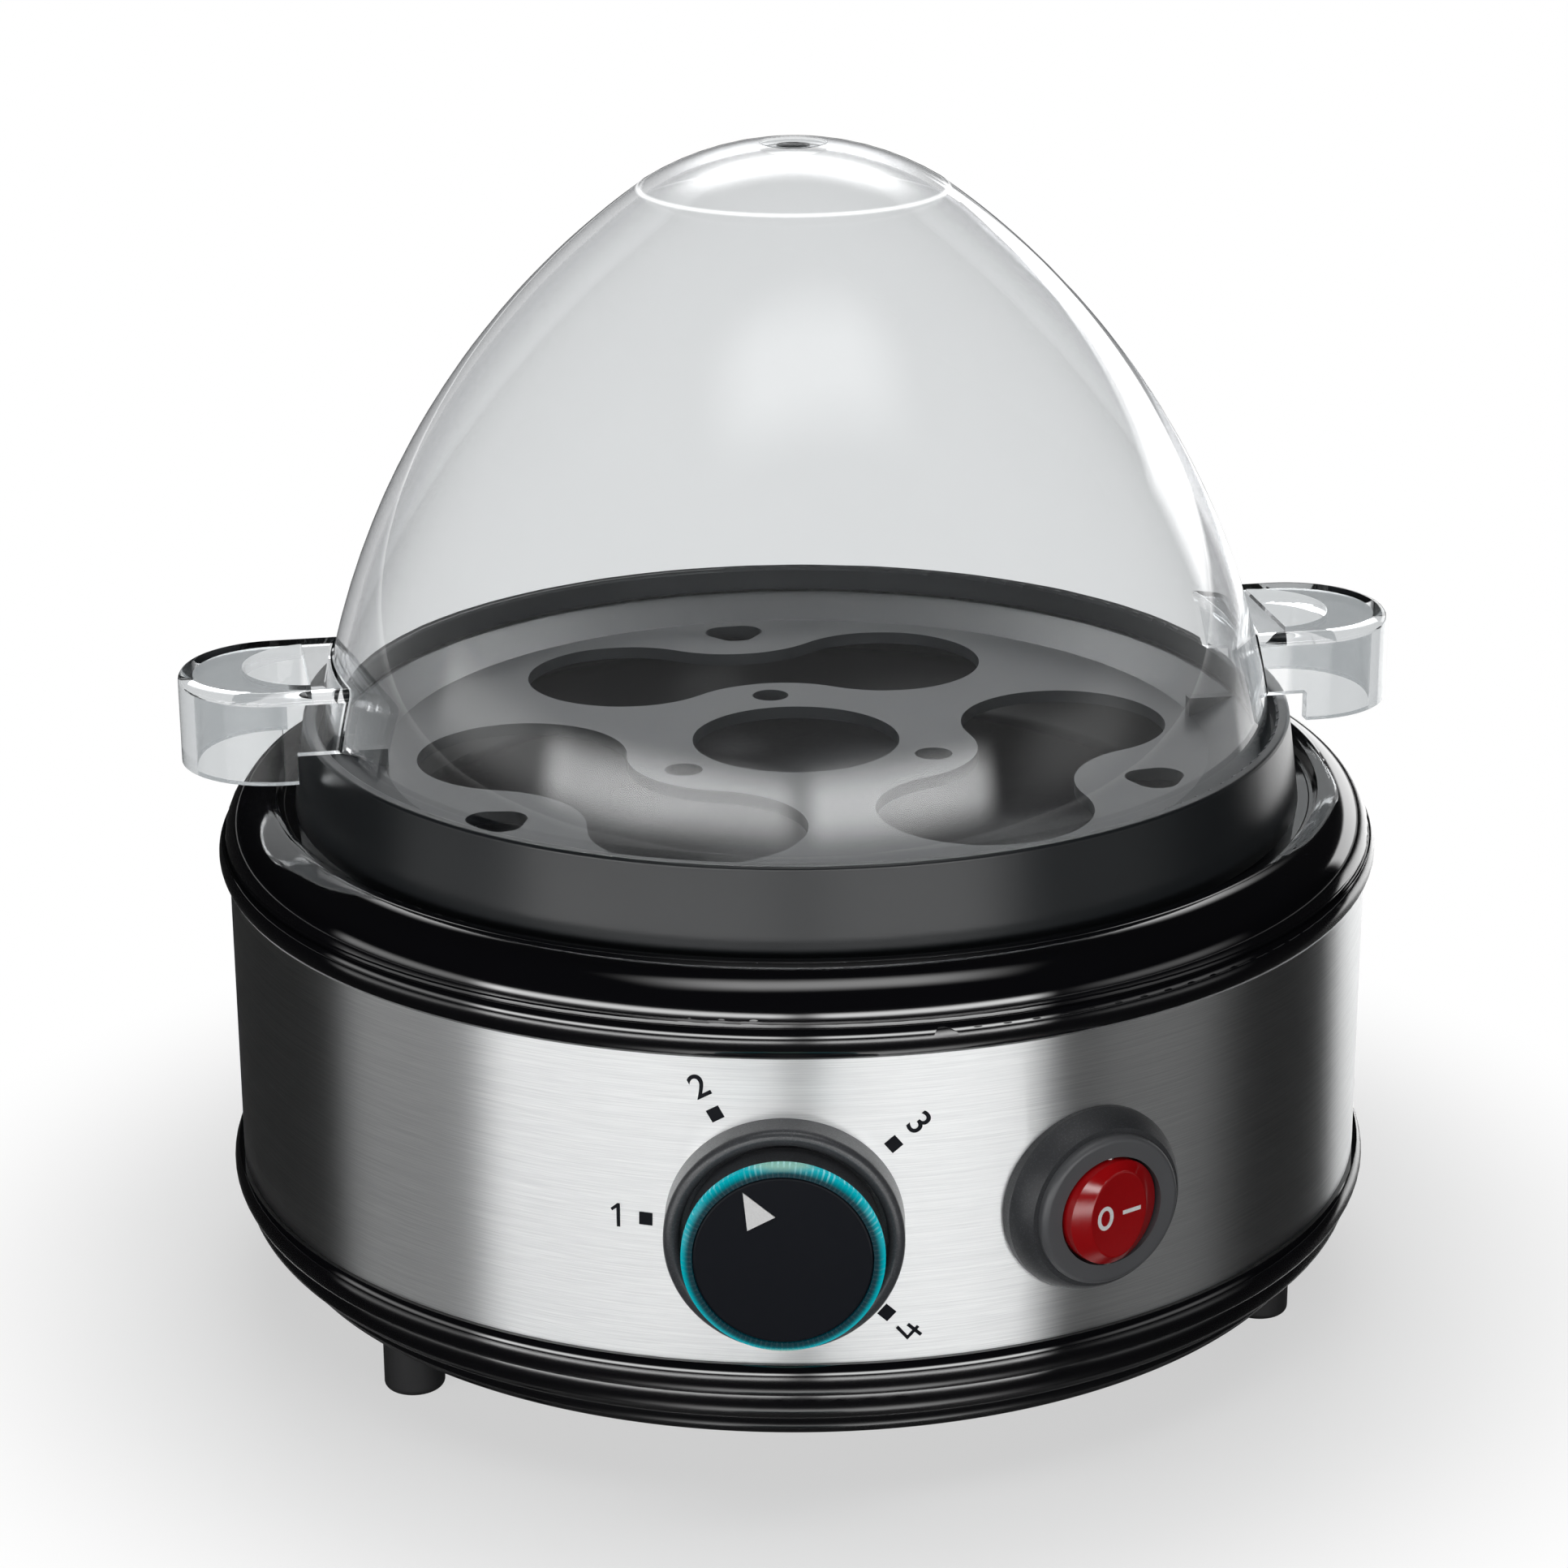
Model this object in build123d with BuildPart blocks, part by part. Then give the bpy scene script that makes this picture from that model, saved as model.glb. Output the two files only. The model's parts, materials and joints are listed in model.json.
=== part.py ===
from build123d import *
import os
from math import cos, hypot, radians, sin, sqrt

# Electric egg cooker: a round base with a steel band, a lift-out egg tray and a clear domed lid.
# Millimetres and degrees. +Z is up, the origin is on the upright axis at table level.
# The front looks along -Y, and an angle round the cooker counts from the front towards +X.

# Fits and small allowances shared by the pieces
cut_overrun = 1.0
seat_gap = 0.05
slip_gap = 0.2
free_gap = 0.3
running_gap = 0.05

# Steel band
band_radius = 91.5
band_gauge = 0.6
band_height = 48.0

# Base pan
pan_wall = 2.2
pan_underside = 9.0
pan_height = 15.0
pan_spigot_height = 6.0
pan_bead_bulge = 1.6
pan_bead_height = 4.8
pan_lip_width = 0.8
pan_groove_depth = 1.7
pan_groove_height = 0.6
pan_skirt_inset = 4.3
pan_skirt_bow = 1.5
pan_skirt_rise = 4.2
pan_edge_inset = 3.0
pan_edge_bow = 1.0
pan_floor_inset = 0.8
pan_tuck_inset = 2.0
pan_tuck_rise = 4.0
vent_count = 6
vent_length = 16.0
vent_width = 4.0
vent_radius = 40.0

# Feet
foot_count = 3
foot_first_angle = 180.0
foot_inset = 5.2
foot_radius = 4.75
foot_edge_fillet = 1.0
foot_peg_radius = 2.4
foot_peg_length = 4.2

# Housing screws, with the pan's towers and the housing's posts
screw_count = 4
screw_inset = 8.9
screw_radius = 1.5
screw_head_radius = 2.9
screw_head_height = 2.0
screw_grip = 12.0
tower_radius = 4.6
tower_height = 18.8
tower_web = 2.0
tower_bore_radius = 3.3
post_radius = 4.0
screw_first_angle = 45.0

# Upper housing
housing_wall = 2.2
housing_height = 10.0
housing_spigot_height = 10.0
housing_bulge = 1.5
housing_shoulder_width = 0.5
housing_bead_height = 4.6
housing_bead_groove = 0.5
housing_bead_overhang = 1.0
housing_crest_inset = 5.3
housing_crest_bow = 1.6
housing_crest_lip = 2.3
housing_crest_width = 2.6
housing_crest_rise = 0.35
housing_lip_slope = 0.6
housing_tuck_wall = 1.5
tray_seat_width = 5.3
plate_seat_depth = 2.2
plate_seat_width = 5.1

# Heating bowl, its seal and what heats it
seal_thickness = 0.8
seal_inset = 2.4
bowl_gauge = 1.5
bowl_flange_gap = 0.4
bowl_mouth_gap = 0.5
bowl_slope = 5.5
bowl_depth = 8.4
bowl_bend = 2.5
spreader_inset = 10.6
spreader_thickness = 4.2
spreader_hole_radius = 5.0
element_inset = 11.0
element_tube_radius = 3.25
element_gap_angle = 64.0
element_pin_radius = 1.3
element_pin_length = 9.0
stud_radius = 2.5
stud_tail = 1.5
bar_gauge = 2.0
bar_width = 14.0
bar_drop = 12.5
bar_rise_run = 22.0
bar_leg_inset = 1.4
bar_leg_height = 12.0
bar_toe_length = 5.5
nut_across_flats = 8.0
nut_height = 4.0

# Heat limiters under the bowl
limiter_circle_share = 0.53
thermostat_angle = -45.0
thermostat_radius = 8.0
thermostat_height = 6.5
thermostat_flange_radius = 9.5
thermostat_flange_height = 1.2
thermostat_blade_length = 7.0
thermostat_blade_width = 4.0
thermostat_blade_gauge = 0.8
thermostat_blade_spread = 4.6
fuse_angle = 60.0
fuse_radius = 2.0
fuse_length = 11.0
fuse_lead_radius = 0.5
fuse_lead_length = 8.0
fuse_clip_width = 6.0
fuse_clip_gauge = 0.6
fuse_clip_tab = 5.0

# Control panel, shared by the dial and the switch
panel_rise_share = 0.448
dial_angle = -11.7
switch_angle = 17.3

# Dial: bezel, control behind the band, knob
bezel_radius = 17.3
bezel_inner_radius = 14.9
bezel_floor = 2.0
bezel_rise = 2.9
bezel_edge_fillet = 1.15
bushing_radius = 4.5
bushing_length = 11.6
mount_size = 28.0
mount_depth = 6.4
control_width = 26.0
control_height = 28.0
control_depth = 16.0
control_corner_fillet = 2.0
control_blade_length = 8.0
control_blade_width = 4.8
control_blade_gauge = 0.8
control_blade_spread = 8.0
control_nut_flats = 12.0
control_nut_height = 2.1
lamp_board_radius = 11.6
lamp_board_inner_radius = 7.6
lamp_board_gauge = 0.9
lamp_count = 6
lamp_size = 1.8
lamp_height = 0.8
shaft_radius = 3.0
shaft_flat_depth = 1.2
shaft_reach = 12.0
knob_radius = 14.1
knob_wall = 1.8
knob_standoff = 1.0
knob_length = 7.5
knob_web = 1.6
knob_hub_radius = 5.2
light_ring_radius = 14.5
light_ring_inner_radius = 12.9
light_ring_depth = 1.9
light_ring_chamfer = 0.8
cap_edge_fillet = 0.4
pointer_angle = -28.0
pointer_tip_radius = 12.0
pointer_base_radius = 6.4
pointer_base_width = 4.6
pointer_depth = 0.5
pointer_proud = 0.05

# Round rocker switch
collar_slope = 1.9
collar_face_margin = 0.8
collar_edge_height = 0.7
collar_height = 4.3
collar_bow = 0.25
switch_flange_lip = 1.5
switch_flange_height = 1.5
switch_flange_fillet = 0.9
switch_barrel_radius = 10.0
switch_barrel_length = 18.0
switch_barrel_wall = 1.6
switch_well_depth = 9.5
switch_blade_length = 8.0
switch_blade_width = 4.8
switch_blade_gauge = 0.8
switch_blade_spread = 6.0
rocker_gap = 0.35
rocker_pivot_depth = 0.9
rocker_side_width = 3.05
rocker_end_width = 1.4
rocker_crown = 2.4
rocker_dish = 0.2
rocker_dish_radius = 110.0
rocker_shoulder = 0.6
rocker_edge_fillet = 0.5
rocker_foot = 4.0
rocker_tilt = 9.0
pivot_pin_radius = 0.6
pivot_pin_seat = 1.0

# Cord gland at the back, and the terminal block inside
gland_angle = 180.0
gland_rise = 14.0
gland_collar_radius = 7.0
gland_tip_radius = 5.4
gland_length = 12.0
gland_neck_radius = 4.6
gland_bore_radius = 3.4
gland_nut_flats = 14.0
gland_nut_height = 3.0
gland_flange_height = 3.0
block_width = 27.0
block_depth = 14.0
block_height = 11.0
block_ways = 3
block_pitch = 8.5
block_setback = 22.0
block_well_radius = 2.3
block_well_depth = 5.0
block_edge_fillet = 0.8

# Inner leads
lead_radius = 1.2
lead_bend = 3.0
lead_drop = 11.5
lead_low_share = 0.61
lead_middle_share = 0.805
lead_end_drop = 8.0
lead_run = 10.0
lead_short_run = 6.0
earth_reach = 10.0

# Egg tray
tray_wall = 2.0
tray_side_gap = 2.4
tray_draft = 1.8
tray_rim_width = 2.1
tray_rim_height = 14.0
tray_ledge_depth = 4.0
tray_ledge_width = 3.1
tray_plate_depth = 7.0
tray_slope = 7.4
tray_rim_fillet = 0.6
place_count = 6
pair_angle = 90.0
place_margin = 5.1
place_web = 11.0
neck_half_width = 8.6
steam_hole_inset = 8.2
steam_hole_length = 17.0
steam_hole_width = 11.0
steam_hole_fillet = 3.4
drip_hole_radius = 3.0
tray_rib_gauge = 2.0
tray_rib_lap = 0.6

# Lid: dome with two finger loops
lid_wall = 2.0
lid_side_gap = 0.5
lid_shoulder_radius = 24.4
lid_shoulder_height = 86.6
lid_bow = 10.4
cap_step = 0.5
cap_step_width = 0.6
cap_height = 7.3
vent_recess_radius = 5.2
vent_recess_depth = 0.8
vent_hole_radius = 2.6
loop_half_width = 15.2
loop_overhang = 21.8
loop_bottom_drop = 0.2
loop_height = 14.6
loop_wall = 2.3
loop_top = 2.4
loop_edge_fillet = 1.6
finger_hole_radius = 11.0
finger_hole_gap = 1.8
finger_hole_bridge = 10.0
rim_notch_side_gap = 1.9
rim_notch_gap = 0.4

# Radii that follow from the band's radius, from the outside inwards
band_inner_radius = band_radius - band_gauge
pan_seat_inner = band_inner_radius - slip_gap
pan_bead_radius = band_radius + pan_bead_bulge
pan_lip_radius = band_radius + pan_lip_width
pan_groove_radius = pan_bead_radius - pan_groove_depth
pan_skirt_radius = band_radius - pan_skirt_inset
pan_edge_radius = pan_skirt_radius - pan_edge_inset
pan_rim_inner_radius = pan_seat_inner - pan_wall
pan_floor_radius = pan_edge_radius - pan_floor_inset
pan_tuck_radius = pan_skirt_radius - pan_tuck_inset
foot_circle_radius = pan_edge_radius - foot_inset
screw_circle_radius = band_inner_radius - screw_inset
housing_bulge_radius = band_radius + housing_bulge
housing_bead_radius = band_radius + housing_bead_overhang
housing_shoulder_radius = band_radius + housing_shoulder_width
housing_spigot_inner = pan_seat_inner - housing_wall
housing_crest_outer_radius = band_radius - housing_crest_inset
housing_crest_inner_radius = housing_crest_outer_radius - housing_crest_width
housing_lip_radius = housing_crest_inner_radius - housing_lip_slope
plate_seat_outer_radius = housing_lip_radius - tray_seat_width
plate_seat_inner_radius = plate_seat_outer_radius - plate_seat_width
housing_tuck_radius = plate_seat_outer_radius + housing_tuck_wall
bowl_flange_radius = plate_seat_outer_radius - bowl_flange_gap
bowl_mouth_radius = plate_seat_inner_radius - bowl_mouth_gap
bowl_floor_radius = bowl_mouth_radius - bowl_slope
spreader_radius = bowl_floor_radius - spreader_inset
element_ring_radius = spreader_radius - element_inset
limiter_circle_radius = element_ring_radius * limiter_circle_share
bar_leg_radius = plate_seat_inner_radius + bar_leg_inset
bar_toe_radius = bar_leg_radius + bar_toe_length
bar_flat_half_length = bar_leg_radius - bar_rise_run
tray_skirt_radius = housing_lip_radius - tray_side_gap
tray_rim_radius = tray_skirt_radius - tray_draft
tray_rim_inner_radius = tray_rim_radius - tray_rim_width
tray_ledge_inner_radius = tray_rim_inner_radius - tray_ledge_width
tray_plate_radius = tray_ledge_inner_radius - tray_slope
tray_rib_inner_radius = tray_plate_radius - tray_rib_lap
steam_hole_radius = tray_plate_radius - steam_hole_inset
lid_edge_radius = tray_rim_inner_radius - lid_side_gap
loop_reach = lid_edge_radius + loop_overhang
finger_hole_start = lid_edge_radius + finger_hole_gap
finger_hole_end = loop_reach - finger_hole_bridge
rim_notch_radius = tray_rim_radius + rim_notch_side_gap

# Heights that follow from the sizes above
pan_floor = pan_underside + pan_wall
pan_skirt_bottom = pan_underside + pan_skirt_rise
pan_tuck_height = pan_floor + pan_tuck_rise
band_bottom = pan_underside + pan_height
band_top = band_bottom + band_height
pan_spigot_top = band_bottom + pan_spigot_height
pan_bead_bottom = band_bottom - pan_bead_height
pan_groove_bottom = pan_bead_bottom - pan_groove_height
tower_top = pan_floor + tower_height
panel_height = band_bottom + band_height * panel_rise_share
gland_height = band_bottom + gland_rise
housing_spigot_bottom = band_top - housing_spigot_height
housing_bead_top = band_top + housing_bead_height
tray_seat = band_top + housing_height
housing_crest_height = tray_seat + housing_crest_lip
plate_seat = tray_seat - plate_seat_depth
tray_rim = tray_seat + tray_rim_height
tray_ledge = tray_rim - tray_ledge_depth
tray_plate_top = tray_rim - tray_plate_depth
tray_plate_bottom = tray_plate_top - tray_wall
bowl_flange_bottom = plate_seat + seal_thickness
bowl_flange_top = bowl_flange_bottom + bowl_gauge
bowl_floor_top = bowl_flange_top - bowl_depth
bowl_floor_bottom = bowl_floor_top - bowl_gauge
spreader_bottom = bowl_floor_bottom - spreader_thickness
ledge_underside = plate_seat - housing_wall
bar_top = spreader_bottom - bar_drop
bar_bottom = bar_top - bar_gauge
lead_high_level = bar_bottom - lead_drop
lead_low_level = pan_floor + (lead_high_level - pan_floor) * lead_low_share
lead_middle_level = pan_floor + (lead_high_level - pan_floor) * lead_middle_share

# Places along the dial's axis, counted out from the cooker's axis
bezel_floor_face = band_radius + bezel_floor
bezel_front = bezel_floor_face + bezel_rise
mount_back = band_inner_radius - mount_depth
control_back = mount_back - control_depth
bushing_front = mount_back + bushing_length
knob_back = bezel_floor_face + knob_standoff
knob_front = knob_back + knob_length
knob_web_back = knob_front - light_ring_depth - knob_web
knob_web_front = knob_front - light_ring_depth
shaft_back = mount_back - shaft_reach

# Radii and places along the switch's axis
switch_flange_radius = switch_barrel_radius + switch_flange_lip
collar_face_radius = switch_flange_radius + collar_face_margin
collar_radius = collar_face_radius + collar_slope
switch_well_radius = switch_barrel_radius - switch_barrel_wall
rocker_radius = switch_well_radius - rocker_gap
rocker_face_half_width = rocker_radius - rocker_side_width
rocker_face_half_height = rocker_radius - rocker_end_width
pivot_pin_reach = switch_well_radius + pivot_pin_seat
collar_front = band_radius + collar_height
switch_front = collar_front + switch_flange_height
switch_back = collar_front - switch_barrel_length
switch_well_floor = switch_front - switch_well_depth
rocker_pivot = switch_front - rocker_pivot_depth

screw_head_seat = tower_top - tower_web
screw_tip = tower_top + screw_grip


def around(angle, radius, height):
    """A point at an angle round the cooker, a distance from its axis and a height."""
    return (radius * sin(radians(angle)), -radius * cos(radians(angle)), height)


def panel_plane(angle, distance, height, turn=0):
    """A plane square to the band: X to the right as seen from outside, Y up, then turned clockwise."""
    level = cos(radians(turn))
    return Plane(
        origin=around(angle, distance, height),
        x_dir=(level * cos(radians(angle)), level * sin(radians(angle)), -sin(radians(turn))),
        z_dir=(sin(radians(angle)), -cos(radians(angle)), 0),
    )


def bowed(start, end, bow):
    """The middle point of an arc that bows to the right of the way from start to end."""
    run_x = end[0] - start[0]
    run_y = end[1] - start[1]
    share = bow / hypot(run_x, run_y)
    return ((start[0] + end[0]) / 2 + run_y * share, (start[1] + end[1]) / 2 - run_x * share)


def arc_middle(centre, start, end):
    """The middle point of the shorter arc about a centre, from start to end."""
    lean_x = start[0] + end[0] - 2 * centre[0]
    lean_y = start[1] + end[1] - 2 * centre[1]
    share = hypot(start[0] - centre[0], start[1] - centre[1]) / hypot(lean_x, lean_y)
    return (centre[0] + lean_x * share, centre[1] + lean_y * share)


def circles_meet(centre_a, radius_a, centre_b, radius_b):
    """Where two circles cross, on the side to the right of the way from centre_a to centre_b."""
    run_x = centre_b[0] - centre_a[0]
    run_y = centre_b[1] - centre_a[1]
    run = hypot(run_x, run_y)
    along = (run**2 + radius_a**2 - radius_b**2) / (2 * run)
    across = sqrt(radius_a**2 - along**2)
    return (
        centre_a[0] + (run_x * along + run_y * across) / run,
        centre_a[1] + (run_y * along - run_x * across) / run,
    )


def polar_angles(count, first_angle):
    """Evenly spaced angles round the cooker."""
    return [first_angle + 360 / count * step for step in range(count)]


foot_angles = polar_angles(foot_count, foot_first_angle)
screw_angles = polar_angles(screw_count, screw_first_angle)

# Steel band with its openings for the dial, the switch and the gland
with BuildPart() as steel_band:
    with BuildSketch(Plane.XY.offset(band_bottom)):
        Circle(band_radius)
        Circle(band_inner_radius, mode=Mode.SUBTRACT)
    extrude(amount=band_height)
    for angle, height, radius in (
        (dial_angle, panel_height, bushing_radius + slip_gap),
        (switch_angle, panel_height, switch_barrel_radius + slip_gap),
        (gland_angle, gland_height, gland_neck_radius + slip_gap),
    ):
        with BuildSketch(panel_plane(angle, band_inner_radius / 2, height)):
            Circle(radius)
        extrude(amount=band_radius, mode=Mode.SUBTRACT)

# Base pan: bead under the band, tucked-in skirt, flat floor with vents
with BuildPart() as base_pan:
    with BuildSketch(Plane.XZ):
        with BuildLine():
            lip = (pan_lip_radius, band_bottom)
            bead_end = (pan_lip_radius, pan_bead_bottom)
            bead_middle = (pan_bead_radius, (band_bottom + pan_bead_bottom) / 2)
            groove = (pan_groove_radius, pan_groove_bottom)
            skirt_end = (pan_skirt_radius, pan_skirt_bottom)
            edge_end = (pan_edge_radius, pan_underside)
            Polyline((pan_seat_inner, pan_spigot_top), (pan_seat_inner, band_bottom), lip)
            ThreePointArc(lip, bead_middle, bead_end)
            Line(bead_end, groove)
            ThreePointArc(groove, bowed(skirt_end, groove, pan_skirt_bow), skirt_end)
            ThreePointArc(skirt_end, bowed(edge_end, skirt_end, pan_edge_bow), edge_end)
            Polyline(
                edge_end,
                (0, pan_underside),
                (0, pan_floor),
                (pan_floor_radius, pan_floor),
                (pan_tuck_radius, pan_tuck_height),
                (pan_rim_inner_radius, groove[1]),
                (pan_rim_inner_radius, pan_spigot_top),
                (pan_seat_inner, pan_spigot_top),
            )
        make_face()
    revolve(axis=Axis.Z)
    for angle in screw_angles:
        with BuildSketch(Plane.XY.offset(pan_floor)):
            with Locations(around(angle, screw_circle_radius, 0)[:2]):
                Circle(tower_radius)
        extrude(amount=tower_top - pan_floor)
        with BuildSketch(Plane.XY.offset(pan_underside - cut_overrun)):
            with Locations(around(angle, screw_circle_radius, 0)[:2]):
                Circle(tower_bore_radius)
        extrude(amount=screw_head_seat - pan_underside + cut_overrun, mode=Mode.SUBTRACT)
        with BuildSketch(Plane.XY.offset(pan_floor)):
            with Locations(around(angle, screw_circle_radius, 0)[:2]):
                Circle(screw_radius + slip_gap)
        extrude(amount=tower_top - pan_floor + cut_overrun, mode=Mode.SUBTRACT)
    with BuildSketch(Plane.XY.offset(pan_underside - cut_overrun)):
        for angle in foot_angles:
            with Locations(around(angle, foot_circle_radius, 0)[:2]):
                Circle(foot_peg_radius + seat_gap)
        with PolarLocations(vent_radius, vent_count):
            SlotOverall(vent_length, vent_width)
    extrude(amount=pan_wall + 2 * cut_overrun, mode=Mode.SUBTRACT)

# Rubber feet, each with a peg that plugs into the pan's floor
with BuildPart() as feet:
    with BuildSketch(Plane.XY):
        for angle in foot_angles:
            with Locations(around(angle, foot_circle_radius, 0)[:2]):
                Circle(foot_radius)
    extrude(amount=pan_underside)
    fillet(feet.faces().group_by(Axis.Z)[0].edges(), foot_edge_fillet)
    with BuildSketch(Plane.XY.offset(pan_underside)):
        for angle in foot_angles:
            with Locations(around(angle, foot_circle_radius, 0)[:2]):
                Circle(foot_peg_radius)
    extrude(amount=foot_peg_length)

# Upper housing: bulged ring on the band, seats for the tray and the bowl, screw posts
with BuildPart() as upper_housing:
    with BuildSketch(Plane.XZ):
        with BuildLine():
            shoulder = (housing_shoulder_radius, band_top)
            bead_top = (housing_bead_radius, housing_bead_top)
            bulge = (housing_bulge_radius, (band_top + housing_bead_top) / 2)
            bead_notch = (housing_bead_radius - housing_bead_groove, housing_bead_top)
            crest_out = (housing_crest_outer_radius, housing_crest_height - housing_crest_rise)
            crest_in = (housing_crest_inner_radius, housing_crest_height - housing_crest_rise)
            crest_middle = ((crest_out[0] + crest_in[0]) / 2, housing_crest_height)
            inner_low = (bead_notch[0] - housing_wall, housing_bead_top)
            inner_high = (crest_out[0] - housing_wall / 2, crest_out[1] - housing_wall)
            Polyline(
                (pan_seat_inner, housing_spigot_bottom),
                (pan_seat_inner, band_top),
                shoulder,
            )
            ThreePointArc(shoulder, bulge, bead_top)
            Line(bead_top, bead_notch)
            ThreePointArc(bead_notch, bowed(bead_notch, crest_out, housing_crest_bow), crest_out)
            ThreePointArc(crest_out, crest_middle, crest_in)
            Polyline(
                crest_in,
                (housing_lip_radius, tray_seat),
                (plate_seat_outer_radius, tray_seat),
                (plate_seat_outer_radius, plate_seat),
                (plate_seat_inner_radius, plate_seat),
                (plate_seat_inner_radius, ledge_underside),
                (housing_tuck_radius, ledge_underside),
                (housing_tuck_radius, tray_seat - housing_wall),
                (housing_lip_radius, tray_seat - housing_wall),
                inner_high,
            )
            ThreePointArc(inner_high, bowed(inner_low, inner_high, housing_crest_bow), inner_low)
            Polyline(
                inner_low,
                (housing_spigot_inner, band_top),
                (housing_spigot_inner, housing_spigot_bottom),
                (pan_seat_inner, housing_spigot_bottom),
            )
        make_face()
    revolve(axis=Axis.Z)
    for angle in screw_angles:
        with BuildSketch(Plane.XY.offset(tower_top)):
            with Locations(around(angle, screw_circle_radius, 0)[:2]):
                Circle(post_radius)
        extrude(amount=tray_seat - housing_wall / 2 - tower_top)
        with BuildSketch(Plane.XY.offset(tower_top - cut_overrun)):
            with Locations(around(angle, screw_circle_radius, 0)[:2]):
                Circle(screw_radius + seat_gap)
        extrude(amount=screw_grip + 2 * cut_overrun, mode=Mode.SUBTRACT)

# Screws that draw the pan up to the housing's posts
with BuildPart() as base_screws:
    with BuildSketch(Plane.XY.offset(screw_head_seat - screw_head_height)):
        for angle in screw_angles:
            with Locations(around(angle, screw_circle_radius, 0)[:2]):
                Circle(screw_head_radius)
    extrude(amount=screw_head_height)
    with BuildSketch(Plane.XY.offset(screw_head_seat)):
        for angle in screw_angles:
            with Locations(around(angle, screw_circle_radius, 0)[:2]):
                Circle(screw_radius)
    extrude(amount=screw_tip - screw_head_seat)

# Seal between the housing's seat and the bowl's flange
with BuildPart() as bowl_seal:
    with BuildSketch(Plane.XY.offset(plate_seat)):
        Circle(bowl_flange_radius)
        Circle(plate_seat_inner_radius + seal_inset, mode=Mode.SUBTRACT)
    extrude(amount=seal_thickness)

# Heating bowl: a pressed dish that holds the water
with BuildPart() as heating_bowl:
    with BuildSketch(Plane.XZ):
        with BuildLine():
            floor_inner = bowl_floor_radius - bowl_gauge / 2
            mouth_inner = bowl_mouth_radius - bowl_gauge / 2
            outside = FilletPolyline(
                (0, bowl_floor_bottom),
                (bowl_floor_radius, bowl_floor_bottom),
                (bowl_mouth_radius, bowl_flange_bottom),
                (bowl_flange_radius, bowl_flange_bottom),
                radius=bowl_bend,
            )
            inside = FilletPolyline(
                (0, bowl_floor_top),
                (floor_inner, bowl_floor_top),
                (mouth_inner, bowl_flange_top),
                (bowl_flange_radius, bowl_flange_top),
                radius=bowl_bend,
            )
            Line(outside @ 0, inside @ 0)
            Line(outside @ 1, inside @ 1)
        make_face()
    revolve(axis=Axis.Z)

# Aluminium spreader with a groove that takes half of the element's tube
element_start = 90 + element_gap_angle / 2
element_sweep = 360 - element_gap_angle

with BuildPart() as heat_spreader:
    with BuildSketch(Plane.XY.offset(spreader_bottom)):
        Circle(spreader_radius)
        Circle(spreader_hole_radius, mode=Mode.SUBTRACT)
    extrude(amount=spreader_thickness)
    with BuildSketch(Plane.XZ):
        with Locations((element_ring_radius, spreader_bottom)):
            Circle(element_tube_radius + seat_gap)
    revolve(axis=Axis.Z, mode=Mode.SUBTRACT)

# Tubular element: an open ring, with a contact pin at each end
with BuildPart() as heating_element:
    with BuildLine(Plane.XY.offset(spreader_bottom)):
        element_path = CenterArc((0, 0), element_ring_radius, element_start, element_sweep)
    with BuildSketch(Plane(element_path @ 0, z_dir=element_path % 0)):
        Circle(element_tube_radius)
    sweep()

pin_starts = [element_path @ 0, element_path @ 1]
pin_ways = [element_path % 0 * -1, element_path % 1]
pin_tips = [start + way * element_pin_length for start, way in zip(pin_starts, pin_ways)]

with BuildPart() as element_pins:
    for start, way in zip(pin_starts, pin_ways):
        with BuildSketch(Plane(start, z_dir=way)):
            Circle(element_pin_radius)
        extrude(amount=element_pin_length)

# Central stud under the bowl, and the bar and nut that draw the bowl down on its seal
with BuildPart() as bowl_stud:
    with BuildSketch(Plane.XY.offset(bowl_floor_bottom)):
        Circle(stud_radius)
    extrude(amount=bar_bottom - nut_height - stud_tail - bowl_floor_bottom)

with BuildPart() as clamp_bar:
    with BuildSketch(Plane.XZ):
        with BuildLine() as bar_half:
            bar_line = bar_top - bar_gauge / 2
            toe_line = ledge_underside - bar_gauge / 2
            Polyline(
                (0, bar_line),
                (bar_flat_half_length, bar_line),
                (bar_leg_radius, ledge_underside - bar_leg_height),
                (bar_leg_radius, toe_line),
                (bar_toe_radius, toe_line),
            )
            mirror(about=Plane.YZ)
        trace(bar_half.line, line_width=bar_gauge)
    extrude(amount=bar_width / 2, both=True)
    with BuildSketch(Plane.XY.offset(bar_bottom - cut_overrun)):
        Circle(stud_radius + slip_gap)
    extrude(amount=bar_gauge + 2 * cut_overrun, mode=Mode.SUBTRACT)

with BuildPart() as clamp_nut:
    with BuildSketch(Plane.XY.offset(bar_bottom)):
        RegularPolygon(nut_across_flats / 2, side_count=6, major_radius=False)
        Circle(stud_radius + seat_gap, mode=Mode.SUBTRACT)
    extrude(amount=-nut_height)

# Disc thermostat against the spreader
thermostat_place = around(thermostat_angle, limiter_circle_radius, 0)[:2]
thermostat_bottom = spreader_bottom - thermostat_flange_height - thermostat_height

with BuildPart() as thermostat:
    with BuildSketch(Plane.XY.offset(spreader_bottom)):
        with Locations(thermostat_place):
            Circle(thermostat_flange_radius)
    extrude(amount=-thermostat_flange_height)
    with BuildSketch(Plane.XY.offset(spreader_bottom - thermostat_flange_height)):
        with Locations(thermostat_place):
            Circle(thermostat_radius)
    extrude(amount=-thermostat_height)

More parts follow.
